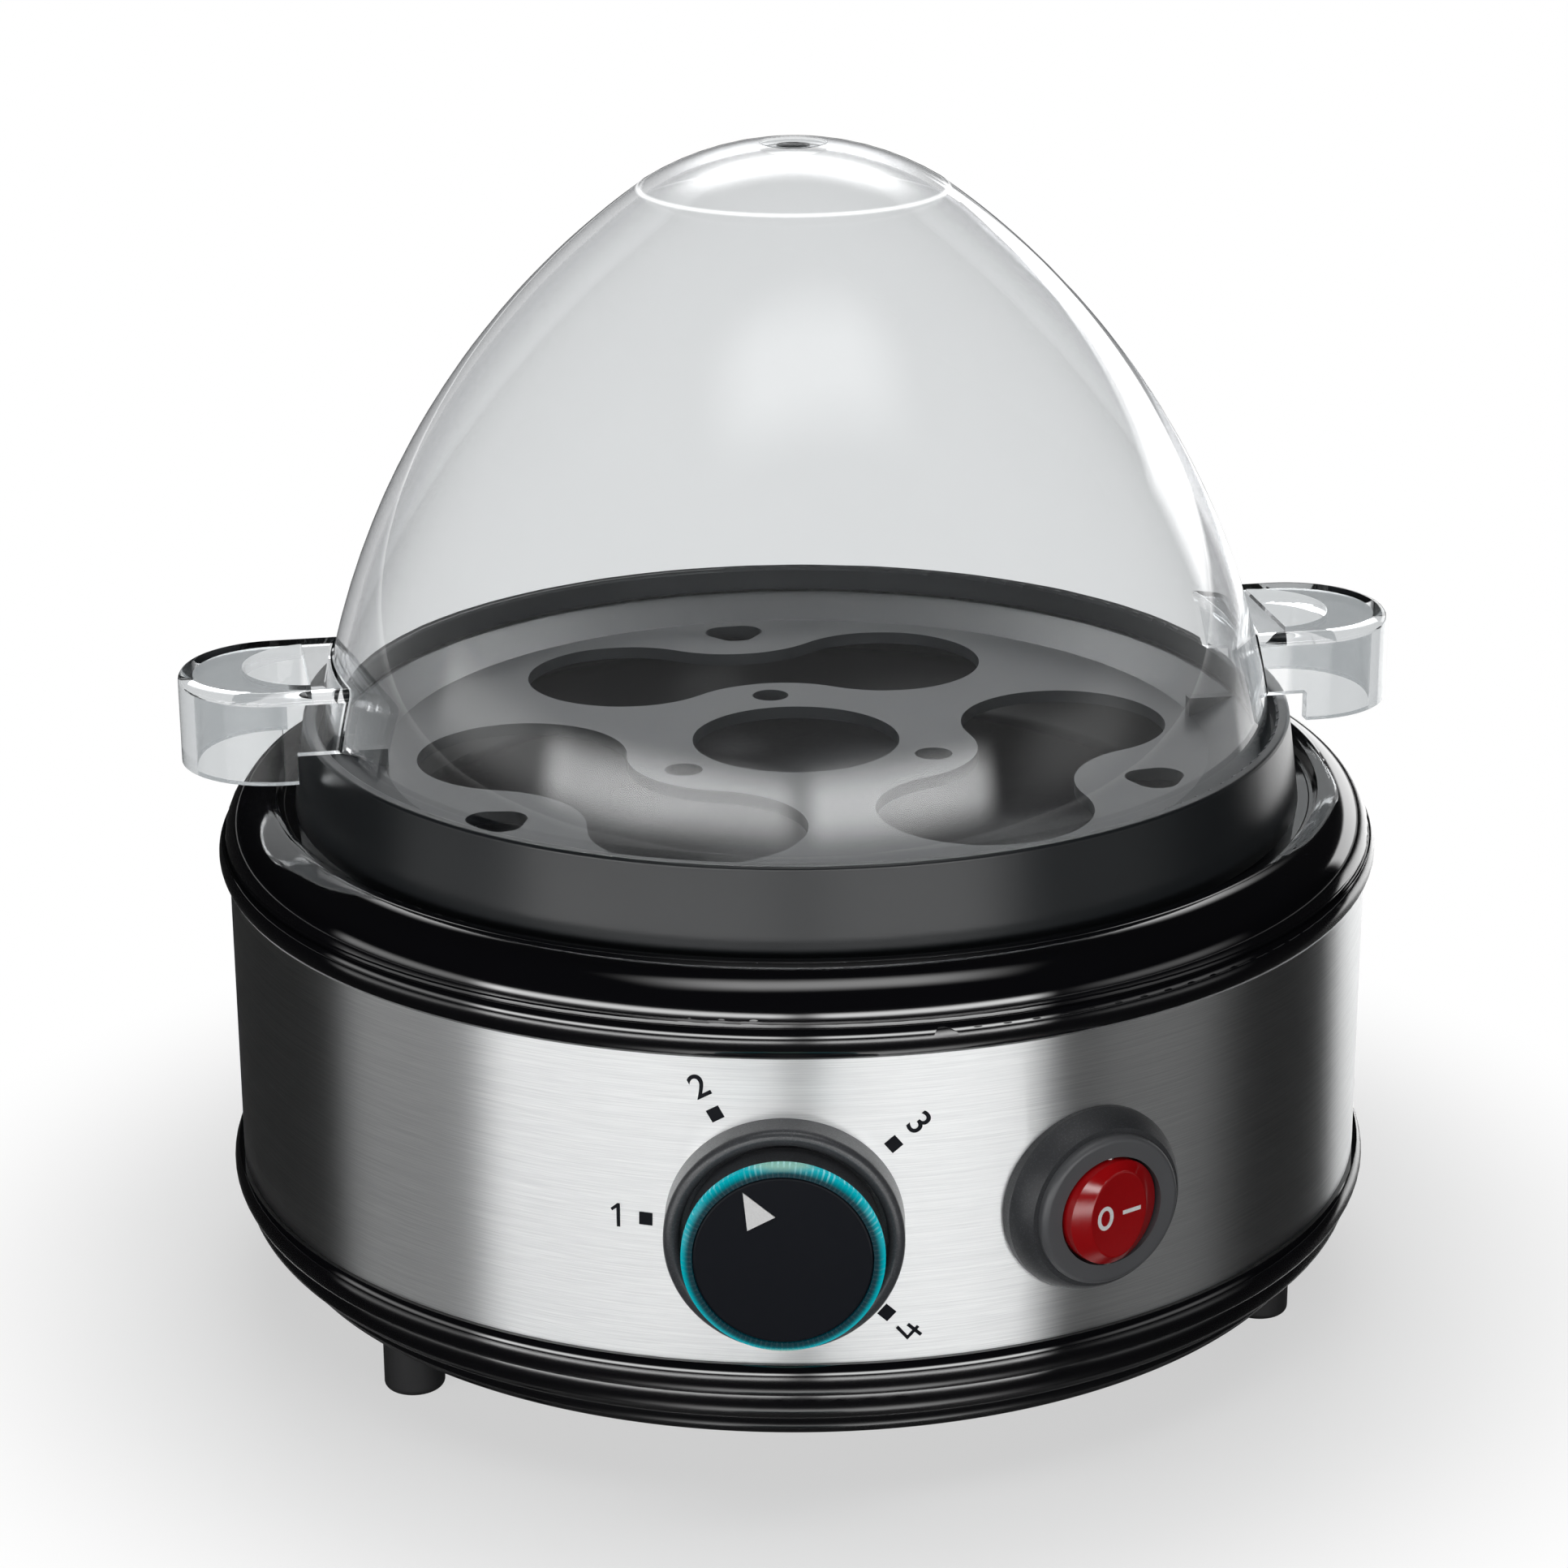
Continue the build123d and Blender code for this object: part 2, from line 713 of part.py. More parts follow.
with BuildPart() as thermostat_blades:
    with BuildSketch(Plane.XY.offset(thermostat_bottom)):
        with Locations(thermostat_place):
            with GridLocations(2 * thermostat_blade_spread, 0, 2, 1):
                Rectangle(thermostat_blade_gauge, thermostat_blade_width)
    extrude(amount=-thermostat_blade_length)

# Thermal fuse with its wire ends, held up by a strap
fuse_axis_height = spreader_bottom - fuse_radius - fuse_clip_gauge
fuse_centre = Vector(*around(fuse_angle, limiter_circle_radius, fuse_axis_height))
fuse_way = Vector(0, 1, 0)

with BuildPart() as thermal_fuse:
    with BuildSketch(Plane(fuse_centre - fuse_way * (fuse_length / 2), z_dir=fuse_way)):
        Circle(fuse_radius)
    extrude(amount=fuse_length)
    with BuildSketch(Plane(fuse_centre, z_dir=fuse_way)):
        Circle(fuse_lead_radius)
    extrude(amount=fuse_length / 2 + fuse_lead_length, both=True)

with BuildPart() as fuse_strap:
    with BuildSketch(Plane(fuse_centre, z_dir=fuse_way, x_dir=(1, 0, 0))):
        Circle(fuse_radius + seat_gap + fuse_clip_gauge)
        with Locations((0, -fuse_radius - fuse_clip_gauge / 2)):
            Rectangle(2 * (fuse_radius + fuse_clip_tab), fuse_clip_gauge)
        Circle(fuse_radius + seat_gap, mode=Mode.SUBTRACT)
    extrude(amount=fuse_clip_width / 2, both=True)
    with BuildSketch(Plane.XY.offset(spreader_bottom)):
        with Locations((fuse_centre.X, fuse_centre.Y)):
            Rectangle(4 * (fuse_radius + fuse_clip_tab), 2 * fuse_clip_width)
    extrude(amount=fuse_radius, mode=Mode.SUBTRACT)

# Dial bezel: a floor shaped to the band and a rounded rim round the knob
with BuildPart() as knob_bezel:
    with BuildSketch(panel_plane(dial_angle, band_radius - bezel_radius / 2, panel_height)):
        Circle(bezel_radius)
    extrude(amount=bezel_front - band_radius + bezel_radius / 2)
    with BuildSketch(panel_plane(dial_angle, bezel_floor_face, panel_height)):
        Circle(bezel_inner_radius)
    extrude(amount=bezel_rise + cut_overrun, mode=Mode.SUBTRACT)
    rim_edges = knob_bezel.edges().filter_by(GeomType.CIRCLE)
    rim_axis = Axis((0, 0, 0), panel_plane(dial_angle, 0, 0).z_dir)
    fillet(rim_edges.group_by(rim_axis)[-1], bezel_edge_fillet)
    with BuildSketch(panel_plane(dial_angle, band_radius / 2, panel_height)):
        Circle(bushing_radius + slip_gap)
    extrude(amount=band_radius, mode=Mode.SUBTRACT)
    with BuildSketch(Plane.XY.offset(band_bottom)):
        Circle(band_radius + seat_gap)
    extrude(amount=band_height, mode=Mode.SUBTRACT)

# Saddle that gives the control a flat seat behind the band
with BuildPart() as control_saddle:
    with BuildSketch(panel_plane(dial_angle, mount_back, panel_height)):
        RectangleRounded(mount_size, mount_size, control_corner_fillet)
        Circle(bushing_radius + slip_gap, mode=Mode.SUBTRACT)
    extrude(amount=mount_depth)
    with BuildSketch(Plane.XY.offset(band_bottom)):
        Circle(band_inner_radius - seat_gap)
    extrude(amount=band_height, mode=Mode.INTERSECT)

# Cooking-time control with its bushing through the panel
with BuildPart() as control_unit:
    with BuildSketch(panel_plane(dial_angle, control_back, panel_height)):
        RectangleRounded(control_width, control_height, control_corner_fillet)
    extrude(amount=control_depth)
    with BuildSketch(panel_plane(dial_angle, mount_back, panel_height)):
        Circle(bushing_radius)
    extrude(amount=bushing_length)
    with BuildSketch(panel_plane(dial_angle, shaft_back, panel_height)):
        Circle(shaft_radius + running_gap)
    extrude(amount=bushing_front - shaft_back + cut_overrun, mode=Mode.SUBTRACT)

with BuildPart() as control_blades:
    with BuildSketch(panel_plane(dial_angle, control_back, panel_height)):
        with GridLocations(2 * control_blade_spread, 0, 2, 1):
            Rectangle(control_blade_gauge, control_blade_width)
    extrude(amount=-control_blade_length)

with BuildPart() as control_nut:
    with BuildSketch(panel_plane(dial_angle, bezel_floor_face, panel_height)):
        RegularPolygon(control_nut_flats / 2, side_count=6, major_radius=False)
        Circle(bushing_radius + seat_gap, mode=Mode.SUBTRACT)
    extrude(amount=control_nut_height)

# Ring of lamps on the bezel's floor that lights the knob's ring from behind
with BuildPart() as ring_lamp:
    with BuildSketch(panel_plane(dial_angle, bezel_floor_face, panel_height)):
        Circle(lamp_board_radius)
        Circle(lamp_board_inner_radius, mode=Mode.SUBTRACT)
    extrude(amount=lamp_board_gauge)
    with BuildSketch(panel_plane(dial_angle, bezel_floor_face + lamp_board_gauge, panel_height)):
        with PolarLocations((lamp_board_radius + lamp_board_inner_radius) / 2, lamp_count):
            Rectangle(lamp_size, lamp_size)
    extrude(amount=lamp_height)

# Control shaft with its flat, which the knob is pushed on to
with BuildPart() as control_shaft:
    with BuildSketch(panel_plane(dial_angle, shaft_back, panel_height)):
        Circle(shaft_radius)
    extrude(amount=knob_web_back - shaft_back)
    with BuildSketch(panel_plane(dial_angle, bushing_front, panel_height)):
        with Locations((0, shaft_radius - shaft_flat_depth / 2)):
            Rectangle(2 * shaft_radius, shaft_flat_depth)
    extrude(amount=knob_web_back - bushing_front + cut_overrun, mode=Mode.SUBTRACT)

# Knob: hollow cup with a hub on the shaft
with BuildPart() as knob_body:
    with BuildSketch(panel_plane(dial_angle, knob_back, panel_height)):
        Circle(knob_radius)
        Circle(knob_radius - knob_wall, mode=Mode.SUBTRACT)
    extrude(amount=knob_web_front - knob_back)
    with BuildSketch(panel_plane(dial_angle, knob_web_back, panel_height)):
        Circle(knob_radius)
    extrude(amount=knob_web)
    with BuildSketch(panel_plane(dial_angle, bushing_front + free_gap, panel_height)):
        Circle(knob_hub_radius)
        with BuildSketch(mode=Mode.PRIVATE) as shaft_socket:
            Circle(shaft_radius + running_gap)
            with Locations((0, shaft_radius + running_gap - shaft_flat_depth / 2)):
                Rectangle(2 * (shaft_radius + running_gap), shaft_flat_depth, mode=Mode.SUBTRACT)
        add(shaft_socket.sketch, mode=Mode.SUBTRACT)
    extrude(amount=knob_web_back - bushing_front - free_gap)

with BuildPart() as knob_light_ring:
    with BuildSketch(panel_plane(dial_angle, knob_web_front, panel_height)):
        Circle(light_ring_radius)
        Circle(light_ring_inner_radius, mode=Mode.SUBTRACT)
    extrude(amount=light_ring_depth)
    ring_edges = knob_light_ring.edges().filter_by(GeomType.CIRCLE).group_by(rim_axis)[-1]
    chamfer(ring_edges.sort_by(SortBy.LENGTH)[-1], light_ring_chamfer)

# Knob cap with a shallow pocket, and the pointer laid into it
pointer_face = panel_plane(dial_angle, knob_front - pointer_depth, panel_height, pointer_angle)

with BuildSketch(mode=Mode.PRIVATE) as pointer_shape:
    with BuildLine():
        Polyline(
            (0, pointer_tip_radius),
            (-pointer_base_width / 2, pointer_base_radius),
            (pointer_base_width / 2, pointer_base_radius),
            close=True,
        )
    make_face()

with BuildPart() as knob_cap:
    with BuildSketch(panel_plane(dial_angle, knob_web_front, panel_height)):
        Circle(light_ring_inner_radius - seat_gap)
    extrude(amount=light_ring_depth)
    fillet(knob_cap.edges().group_by(rim_axis)[-1], cap_edge_fillet)
    with BuildSketch(pointer_face):
        add(pointer_shape.sketch)
    extrude(amount=pointer_depth + cut_overrun, mode=Mode.SUBTRACT)

with BuildPart() as knob_pointer:
    with BuildSketch(pointer_face):
        add(pointer_shape.sketch)
        offset(amount=-seat_gap, kind=Kind.INTERSECTION, mode=Mode.REPLACE)
    extrude(amount=pointer_depth + pointer_proud)

# Switch collar: a sloped ring shaped to the band
switch_axis_plane = panel_plane(switch_angle, 0, panel_height)
switch_section = Plane(switch_axis_plane.origin, x_dir=(0, 0, 1), z_dir=switch_axis_plane.x_dir)

with BuildPart() as switch_collar:
    with BuildSketch(switch_section):
        with BuildLine():
            collar_edge = (collar_radius, band_radius + collar_edge_height)
            collar_face = (collar_face_radius, collar_front)
            collar_root = band_radius - collar_radius / 2
            Polyline(
                (collar_face_radius, collar_front),
                (switch_barrel_radius + slip_gap, collar_front),
                (switch_barrel_radius + slip_gap, collar_root),
                (collar_radius, collar_root),
                collar_edge,
            )
            ThreePointArc(collar_edge, bowed(collar_edge, collar_face, collar_bow), collar_face)
        make_face()
    revolve(axis=Axis(switch_axis_plane.origin, switch_axis_plane.z_dir))
    with BuildSketch(Plane.XY.offset(band_bottom)):
        Circle(band_radius + seat_gap)
    extrude(amount=band_height, mode=Mode.SUBTRACT)

# Switch body: flange on the collar, barrel through the band, well for the rocker
with BuildPart() as switch_body:
    with BuildSketch(panel_plane(switch_angle, switch_back, panel_height)):
        Circle(switch_barrel_radius)
    extrude(amount=switch_barrel_length)
    with BuildSketch(panel_plane(switch_angle, collar_front, panel_height)):
        Circle(switch_flange_radius)
    extrude(amount=switch_flange_height)
    switch_rim_axis = Axis((0, 0, 0), switch_axis_plane.z_dir)
    fillet(switch_body.edges().group_by(switch_rim_axis)[-1], switch_flange_fillet)
    with BuildSketch(panel_plane(switch_angle, switch_well_floor, panel_height)):
        Circle(switch_well_radius)
    extrude(amount=switch_well_depth + cut_overrun, mode=Mode.SUBTRACT)
    with BuildSketch(Plane(around(switch_angle, rocker_pivot, panel_height), z_dir=(0, 0, 1))):
        Circle(pivot_pin_radius + running_gap)
    extrude(amount=pivot_pin_reach + free_gap, both=True, mode=Mode.SUBTRACT)

with BuildPart() as switch_blades:
    with BuildSketch(panel_plane(switch_angle, switch_back, panel_height)):
        with GridLocations(switch_blade_spread, 0, 3, 1):
            Rectangle(switch_blade_gauge, switch_blade_width)
    extrude(amount=-switch_blade_length)

# Rocker: a round key with a dished oval face, lying over to its pressed side
rocker_centre = around(switch_angle, rocker_pivot, panel_height)
rocker_lean = panel_plane(switch_angle + rocker_tilt, 0, 0)
rocker_base = Plane(rocker_centre, x_dir=rocker_lean.x_dir, z_dir=rocker_lean.z_dir)
rocker_reach = rocker_radius + cut_overrun

with BuildPart() as switch_rocker:
    with BuildSketch(rocker_base.offset(-rocker_foot)):
        Circle(rocker_reach)
    extrude(amount=rocker_foot + rocker_shoulder)
    with BuildSketch(rocker_base.offset(rocker_shoulder)):
        Circle(rocker_reach)
    with BuildSketch(rocker_base.offset(rocker_crown)):
        Ellipse(rocker_face_half_width, rocker_face_half_height)
    loft()
    with Locations(rocker_centre):
        Sphere(rocker_radius, mode=Mode.INTERSECT)
    with Locations(rocker_base.offset(rocker_crown - rocker_dish + rocker_dish_radius).origin):
        Sphere(rocker_dish_radius, mode=Mode.SUBTRACT)
    rocker_faces = switch_rocker.faces().sort_by(Axis((0, 0, 0), rocker_lean.z_dir))
    fillet(rocker_faces[-1].edges(), rocker_edge_fillet)
    with BuildSketch(Plane(rocker_centre, z_dir=(0, 0, 1))):
        Circle(pivot_pin_radius + seat_gap)
    extrude(amount=rocker_radius, both=True, mode=Mode.SUBTRACT)

with BuildPart() as rocker_pin:
    with BuildSketch(Plane(rocker_centre, z_dir=(0, 0, 1))):
        Circle(pivot_pin_radius)
    extrude(amount=pivot_pin_reach, both=True)

# Cord gland at the back: collar outside, neck through the band, nut inside
gland_section_plane = panel_plane(gland_angle, 0, gland_height)
gland_section = Plane(
    gland_section_plane.origin, x_dir=(0, 0, 1), z_dir=gland_section_plane.x_dir
)
gland_inner_end = band_inner_radius - gland_nut_height - pan_wall
gland_tip = band_radius + gland_length

with BuildPart() as cord_gland:
    with BuildSketch(gland_section):
        with BuildLine():
            Polyline(
                (gland_bore_radius, gland_inner_end),
                (gland_neck_radius, gland_inner_end),
                (gland_neck_radius, band_radius - gland_collar_radius / 2),
                (gland_collar_radius, band_radius - gland_collar_radius / 2),
                (gland_collar_radius, band_radius + gland_flange_height),
                (gland_tip_radius, gland_tip),
                (gland_bore_radius, gland_tip),
                close=True,
            )
        make_face()
    revolve(axis=Axis(gland_section_plane.origin, gland_section_plane.z_dir))
    with BuildSketch(Plane.XY.offset(band_bottom)):
        Circle(band_radius + seat_gap)
    extrude(amount=band_height, mode=Mode.SUBTRACT)
    with BuildSketch(panel_plane(gland_angle, gland_inner_end, gland_height)):
        Circle(gland_neck_radius)
        Circle(gland_bore_radius, mode=Mode.SUBTRACT)
    extrude(amount=band_radius + gland_flange_height - gland_inner_end)

with BuildPart() as gland_nut:
    with BuildSketch(panel_plane(gland_angle, band_inner_radius - gland_nut_height, gland_height)):
        RegularPolygon(gland_nut_flats / 2, side_count=6, major_radius=False)
        Circle(gland_neck_radius + seat_gap, mode=Mode.SUBTRACT)
    extrude(amount=gland_nut_height)
    with BuildSketch(Plane.XY.offset(band_bottom)):
        Circle(band_inner_radius - seat_gap)
    extrude(amount=band_height, mode=Mode.INTERSECT)

# Terminal block on the pan's floor, near the gland
block_centre = band_inner_radius - block_setback - block_depth / 2
block_top = pan_floor + block_height

with BuildPart() as terminal_block:
    with BuildSketch(Plane.XY.offset(pan_floor)):
        with Locations((0, block_centre)):
            RectangleRounded(block_width, block_depth, block_edge_fillet)
    extrude(amount=block_height)
    with BuildSketch(Plane.XY.offset(block_top)):
        with Locations((0, block_centre)):
            with GridLocations(block_pitch, 0, block_ways, 1):
                Circle(block_well_radius)
    extrude(amount=-block_well_depth, mode=Mode.SUBTRACT)


def at_level(point, level):
    """The place straight above or below a point at a height that leads run at."""
    return Vector(point.X, point.Y, level)


# Leads in the order of the current: block, switch, control, thermostat, element, fuse, block
switch_blade_end = panel_plane(switch_angle, switch_back - switch_blade_length, panel_height)
control_blade_end = panel_plane(dial_angle, control_back - control_blade_length, panel_height)
switch_right = switch_blade_end.from_local_coords((switch_blade_spread, 0, 0))
switch_left = switch_blade_end.from_local_coords((-switch_blade_spread, 0, 0))
control_right = control_blade_end.from_local_coords((control_blade_spread, 0, 0))
control_left = control_blade_end.from_local_coords((-control_blade_spread, 0, 0))
switch_inward = switch_blade_end.z_dir * -lead_run
control_inward = control_blade_end.z_dir * -lead_run
thermostat_left, thermostat_right = [
    Vector(
        thermostat_place[0] + side * thermostat_blade_spread,
        thermostat_place[1],
        thermostat_bottom - thermostat_blade_length,
    )
    for side in (-1, 1)
]
pin_left, pin_right = [tip - Vector(0, 0, element_pin_radius) for tip in pin_tips]
fuse_back = fuse_centre + fuse_way * (fuse_length / 2 + fuse_lead_length)
fuse_front = fuse_centre - fuse_way * (fuse_length / 2 + fuse_lead_length)
fuse_back_turn = fuse_back + fuse_way * lead_run
fuse_front_turn = fuse_front - fuse_way * lead_short_run
earth_point = Vector(earth_reach, 0, bar_bottom)
block_left, block_middle, block_right = [
    Vector(block_pitch * step, block_centre, block_top - block_well_depth) for step in (-1, 0, 1)
]

lead_runs = [
    [
        block_right,
        at_level(block_right, lead_low_level),
        at_level(switch_right + switch_inward * 2, lead_low_level),
        switch_right + switch_inward,
        switch_right,
    ],
    [
        switch_left,
        switch_left + switch_inward,
        control_right + control_inward,
        control_right,
    ],
    [
        control_left,
        control_left + control_inward,
        at_level(thermostat_left, thermostat_left.Z - lead_end_drop),
        thermostat_left,
    ],
    [
        thermostat_right,
        at_level(thermostat_right, lead_high_level),
        at_level(pin_left, lead_high_level),
        pin_left,
    ],
    [
        pin_right,
        at_level(pin_right, lead_high_level),
        at_level(fuse_back_turn, lead_high_level),
        fuse_back_turn,
        fuse_back,
    ],
    [
        fuse_front,
        fuse_front_turn,
        at_level(fuse_front_turn, lead_middle_level),
        at_level(block_left, lead_middle_level),
        block_left,
    ],
    [
        block_middle,
        at_level(block_middle, lead_high_level),
        at_level(earth_point, lead_high_level),
        earth_point,
    ],
]

with BuildPart() as inner_leads:
    for run in lead_runs:
        with BuildLine():
            lead_path = FilletPolyline(*run, radius=lead_bend)
        with BuildSketch(Plane(lead_path @ 0, z_dir=lead_path % 0)):
            Circle(lead_radius)
        sweep()

# Egg tray: skirted plate with three pairs of joined places, a middle place and steam holes
half_step = radians(180 / place_count)
place_circle_radius = (tray_plate_radius - place_margin + place_web / 2) / (1 + sin(half_step))
half_pair = place_circle_radius * sin(half_step)
pair_radius = place_circle_radius * cos(half_step)
place_radius = half_pair - place_web / 2
drip_hole_circle_radius = (place_radius + pair_radius - neck_half_width) / 2
neck_bend = (half_pair**2 + neck_half_width**2 - place_radius**2) / (2 * (place_radius - neck_half_width))
neck_centre = neck_half_width + neck_bend
touch_share = place_radius / (place_radius + neck_bend)
touch_along = half_pair * (1 - touch_share)
touch_across = neck_centre * touch_share
pair_count = place_count // 2

with BuildSketch(mode=Mode.PRIVATE) as joined_places:
    with BuildLine():
        far = half_pair + place_radius
        for side in (1, -1):
            ThreePointArc(
                (touch_across, side * touch_along), (0, side * far), (-touch_across, side * touch_along)
            )
            ThreePointArc(
                (side * touch_across, touch_along),
                (side * neck_half_width, 0),
                (side * touch_across, -touch_along),
            )
    make_face()

with BuildSketch(mode=Mode.PRIVATE) as steam_hole:
    with BuildLine():
        Polyline(
            (steam_hole_width / 2, steam_hole_length / 2),
            (-steam_hole_width / 2, 0),
            (steam_hole_width / 2, -steam_hole_length / 2),
            close=True,
        )
    make_face()
    fillet(steam_hole.vertices(), steam_hole_fillet)

with BuildPart() as egg_tray:
    with BuildSketch(Plane.XZ):
        with BuildLine():
            Polyline(
                (0, tray_plate_top),
                (tray_plate_radius, tray_plate_top),
                (tray_ledge_inner_radius, tray_ledge),
                (tray_rim_inner_radius, tray_ledge),
                (tray_rim_inner_radius, tray_rim),
                (tray_rim_radius, tray_rim),
                (tray_skirt_radius, tray_seat),
                (tray_skirt_radius - tray_wall, tray_seat),
                (tray_rim_radius - tray_wall, tray_ledge - tray_wall),
                (tray_ledge_inner_radius, tray_ledge - tray_wall),
                (tray_plate_radius, tray_plate_bottom),
                (0, tray_plate_bottom),
                close=True,
            )
        make_face()
    revolve(axis=Axis.Z)
    fillet(egg_tray.edges().filter_by(GeomType.CIRCLE).group_by(Axis.Z)[-1], tray_rim_fillet)
    with BuildSketch(Plane.XY.offset(tray_plate_bottom - cut_overrun)):
        Circle(place_radius)
        with PolarLocations(pair_radius, pair_count, pair_angle):
            add(joined_places.sketch)
        with PolarLocations(steam_hole_radius, pair_count, pair_angle):
            add(steam_hole.sketch)
        with PolarLocations(drip_hole_circle_radius, pair_count, pair_angle):
            Circle(drip_hole_radius)
    extrude(amount=tray_wall + 2 * cut_overrun, mode=Mode.SUBTRACT)
    for side in (1, -1):
        with BuildSketch(Plane.XZ):
            with BuildLine():
                Polyline(
                    (side * tray_rib_inner_radius, tray_ledge),
                    (side * tray_ledge_inner_radius, tray_ledge),
                    (side * tray_plate_radius, tray_plate_top - tray_wall / 2),
                    (side * tray_rib_inner_radius, tray_plate_top - tray_wall / 2),
                    close=True,
                )
            make_face()
        extrude(amount=tray_rib_gauge / 2, both=True)

# Lid: the dome's solid form and its wall, which share their arcs' centres, then the finger loops
lid_shoulder = tray_ledge + lid_shoulder_height
lid_rim = (lid_edge_radius, tray_ledge)
lid_step = (lid_shoulder_radius, lid_shoulder)
lid_top = (0, lid_shoulder + cap_height)
cap_edge = (lid_shoulder_radius - cap_step_width, lid_shoulder + cap_step)
cap_rise = lid_top[1] - cap_edge[1]
cap_radius = (cap_edge[0] ** 2 + cap_rise**2) / (2 * cap_rise)
cap_centre = (0, lid_top[1] - cap_radius)
dome_chord = hypot(lid_rim[0] - lid_step[0], lid_rim[1] - lid_step[1])
dome_radius = dome_chord**2 / (8 * lid_bow) + lid_bow / 2
dome_crown = bowed(lid_rim, lid_step, lid_bow)
chord_middle = ((lid_rim[0] + lid_step[0]) / 2, (lid_rim[1] + lid_step[1]) / 2)
dome_centre = (
    dome_crown[0] + (chord_middle[0] - dome_crown[0]) * dome_radius / lid_bow,
    dome_crown[1] + (chord_middle[1] - dome_crown[1]) * dome_radius / lid_bow,
)
dome_inner_radius = dome_radius - lid_wall
cap_inner_radius = cap_radius - lid_wall
inner_rim_run = sqrt(dome_inner_radius**2 - (tray_ledge - dome_centre[1]) ** 2)
inner_rim = (dome_centre[0] + inner_rim_run, tray_ledge)
inner_top = (0, lid_top[1] - lid_wall)
inner_step = circles_meet(dome_centre, dome_inner_radius, cap_centre, cap_inner_radius)

with BuildPart() as dome_form:
    with BuildSketch(Plane.XZ):
        with BuildLine():
            ThreePointArc(lid_rim, dome_crown, lid_step)
            Line(lid_step, cap_edge)
            ThreePointArc(cap_edge, arc_middle(cap_centre, cap_edge, lid_top), lid_top)
            Polyline(lid_top, (0, tray_ledge), lid_rim)
        make_face()
    revolve(axis=Axis.Z)

with BuildPart() as dome_wall:
    with BuildSketch(Plane.XZ):
        with BuildLine():
            ThreePointArc(lid_rim, dome_crown, lid_step)
            Line(lid_step, cap_edge)
            ThreePointArc(cap_edge, arc_middle(cap_centre, cap_edge, lid_top), lid_top)
            Line(lid_top, inner_top)
            ThreePointArc(inner_top, arc_middle(cap_centre, inner_top, inner_step), inner_step)
            ThreePointArc(inner_step, arc_middle(dome_centre, inner_step, inner_rim), inner_rim)
            Line(inner_rim, lid_rim)
        make_face()
    revolve(axis=Axis.Z)

loop_bottom = tray_ledge - loop_bottom_drop
loop_centre = loop_reach - loop_half_width
loop_root = tray_ledge_inner_radius / 2

with BuildPart() as lid:
    for side in (1, -1):
        with BuildSketch(Plane.XY.offset(loop_bottom)):
            with Locations((side * loop_centre, 0)):
                Circle(loop_half_width)
            with Locations((side * (loop_root + loop_centre) / 2, 0)):
                Rectangle(loop_centre - loop_root, 2 * loop_half_width)
        extrude(amount=loop_height)
    fillet(lid.faces().sort_by(Axis.Z)[-2:].edges(), loop_edge_fillet)
    for side in (1, -1):
        with BuildSketch(Plane.XY.offset(loop_bottom - cut_overrun)):
            with Locations((side * loop_centre, 0)):
                Circle(loop_half_width - loop_wall)
            with Locations((side * (loop_root + loop_centre) / 2, 0)):
                Rectangle(loop_centre - loop_root, 2 * (loop_half_width - loop_wall))
        extrude(amount=loop_height - loop_top + cut_overrun, mode=Mode.SUBTRACT)
        with BuildSketch(Plane.XY.offset(loop_bottom)):
            with Locations((side * (finger_hole_end - finger_hole_radius), 0)):
                Circle(finger_hole_radius)
            with Locations((side * (finger_hole_start + loop_reach) / 2, 0)):
                Rectangle(
                    loop_reach - finger_hole_start, 2 * loop_half_width, mode=Mode.INTERSECT
                )
        extrude(amount=loop_height + cut_overrun, mode=Mode.SUBTRACT)
        with BuildSketch(Plane.XY.offset(loop_bottom - cut_overrun)):
            with Locations((side * rim_notch_radius / 2, 0)):
                Rectangle(rim_notch_radius, 2 * loop_half_width + cut_overrun)
        extrude(amount=tray_rim + rim_notch_gap - loop_bottom + cut_overrun, mode=Mode.SUBTRACT)
    add(dome_form.part, mode=Mode.SUBTRACT)
    add(dome_wall.part)
    with BuildSketch(Plane.XY.offset(lid_top[1] - vent_recess_depth)):
        Circle(vent_recess_radius)
    extrude(amount=vent_recess_depth + cut_overrun, mode=Mode.SUBTRACT)
    with BuildSketch(Plane.XY.offset(lid_top[1])):
        Circle(vent_hole_radius)
    extrude(amount=-lid_wall - vent_recess_depth - cut_overrun, mode=Mode.SUBTRACT)

pieces = {
    "steel_band": steel_band,
    "base_pan": base_pan,
    "feet": feet,
    "upper_housing": upper_housing,
    "base_screws": base_screws,
    "bowl_seal": bowl_seal,
    "heating_bowl": heating_bowl,
    "heat_spreader": heat_spreader,
    "heating_element": heating_element,
    "element_pins": element_pins,
    "bowl_stud": bowl_stud,
    "clamp_bar": clamp_bar,
    "clamp_nut": clamp_nut,
    "thermostat": thermostat,
    "thermostat_blades": thermostat_blades,
    "thermal_fuse": thermal_fuse,
    "fuse_strap": fuse_strap,
    "knob_bezel": knob_bezel,
    "control_saddle": control_saddle,
    "control_unit": control_unit,
    "control_blades": control_blades,
    "control_nut": control_nut,
    "ring_lamp": ring_lamp,
    "control_shaft": control_shaft,
    "knob_body": knob_body,
    "knob_light_ring": knob_light_ring,
    "knob_cap": knob_cap,
    "knob_pointer": knob_pointer,
    "switch_collar": switch_collar,
    "switch_body": switch_body,
    "switch_blades": switch_blades,
    "switch_rocker": switch_rocker,
    "rocker_pin": rocker_pin,
    "cord_gland": cord_gland,
    "gland_nut": gland_nut,
    "terminal_block": terminal_block,
    "inner_leads": inner_leads,
    "egg_tray": egg_tray,
    "lid": lid,
}

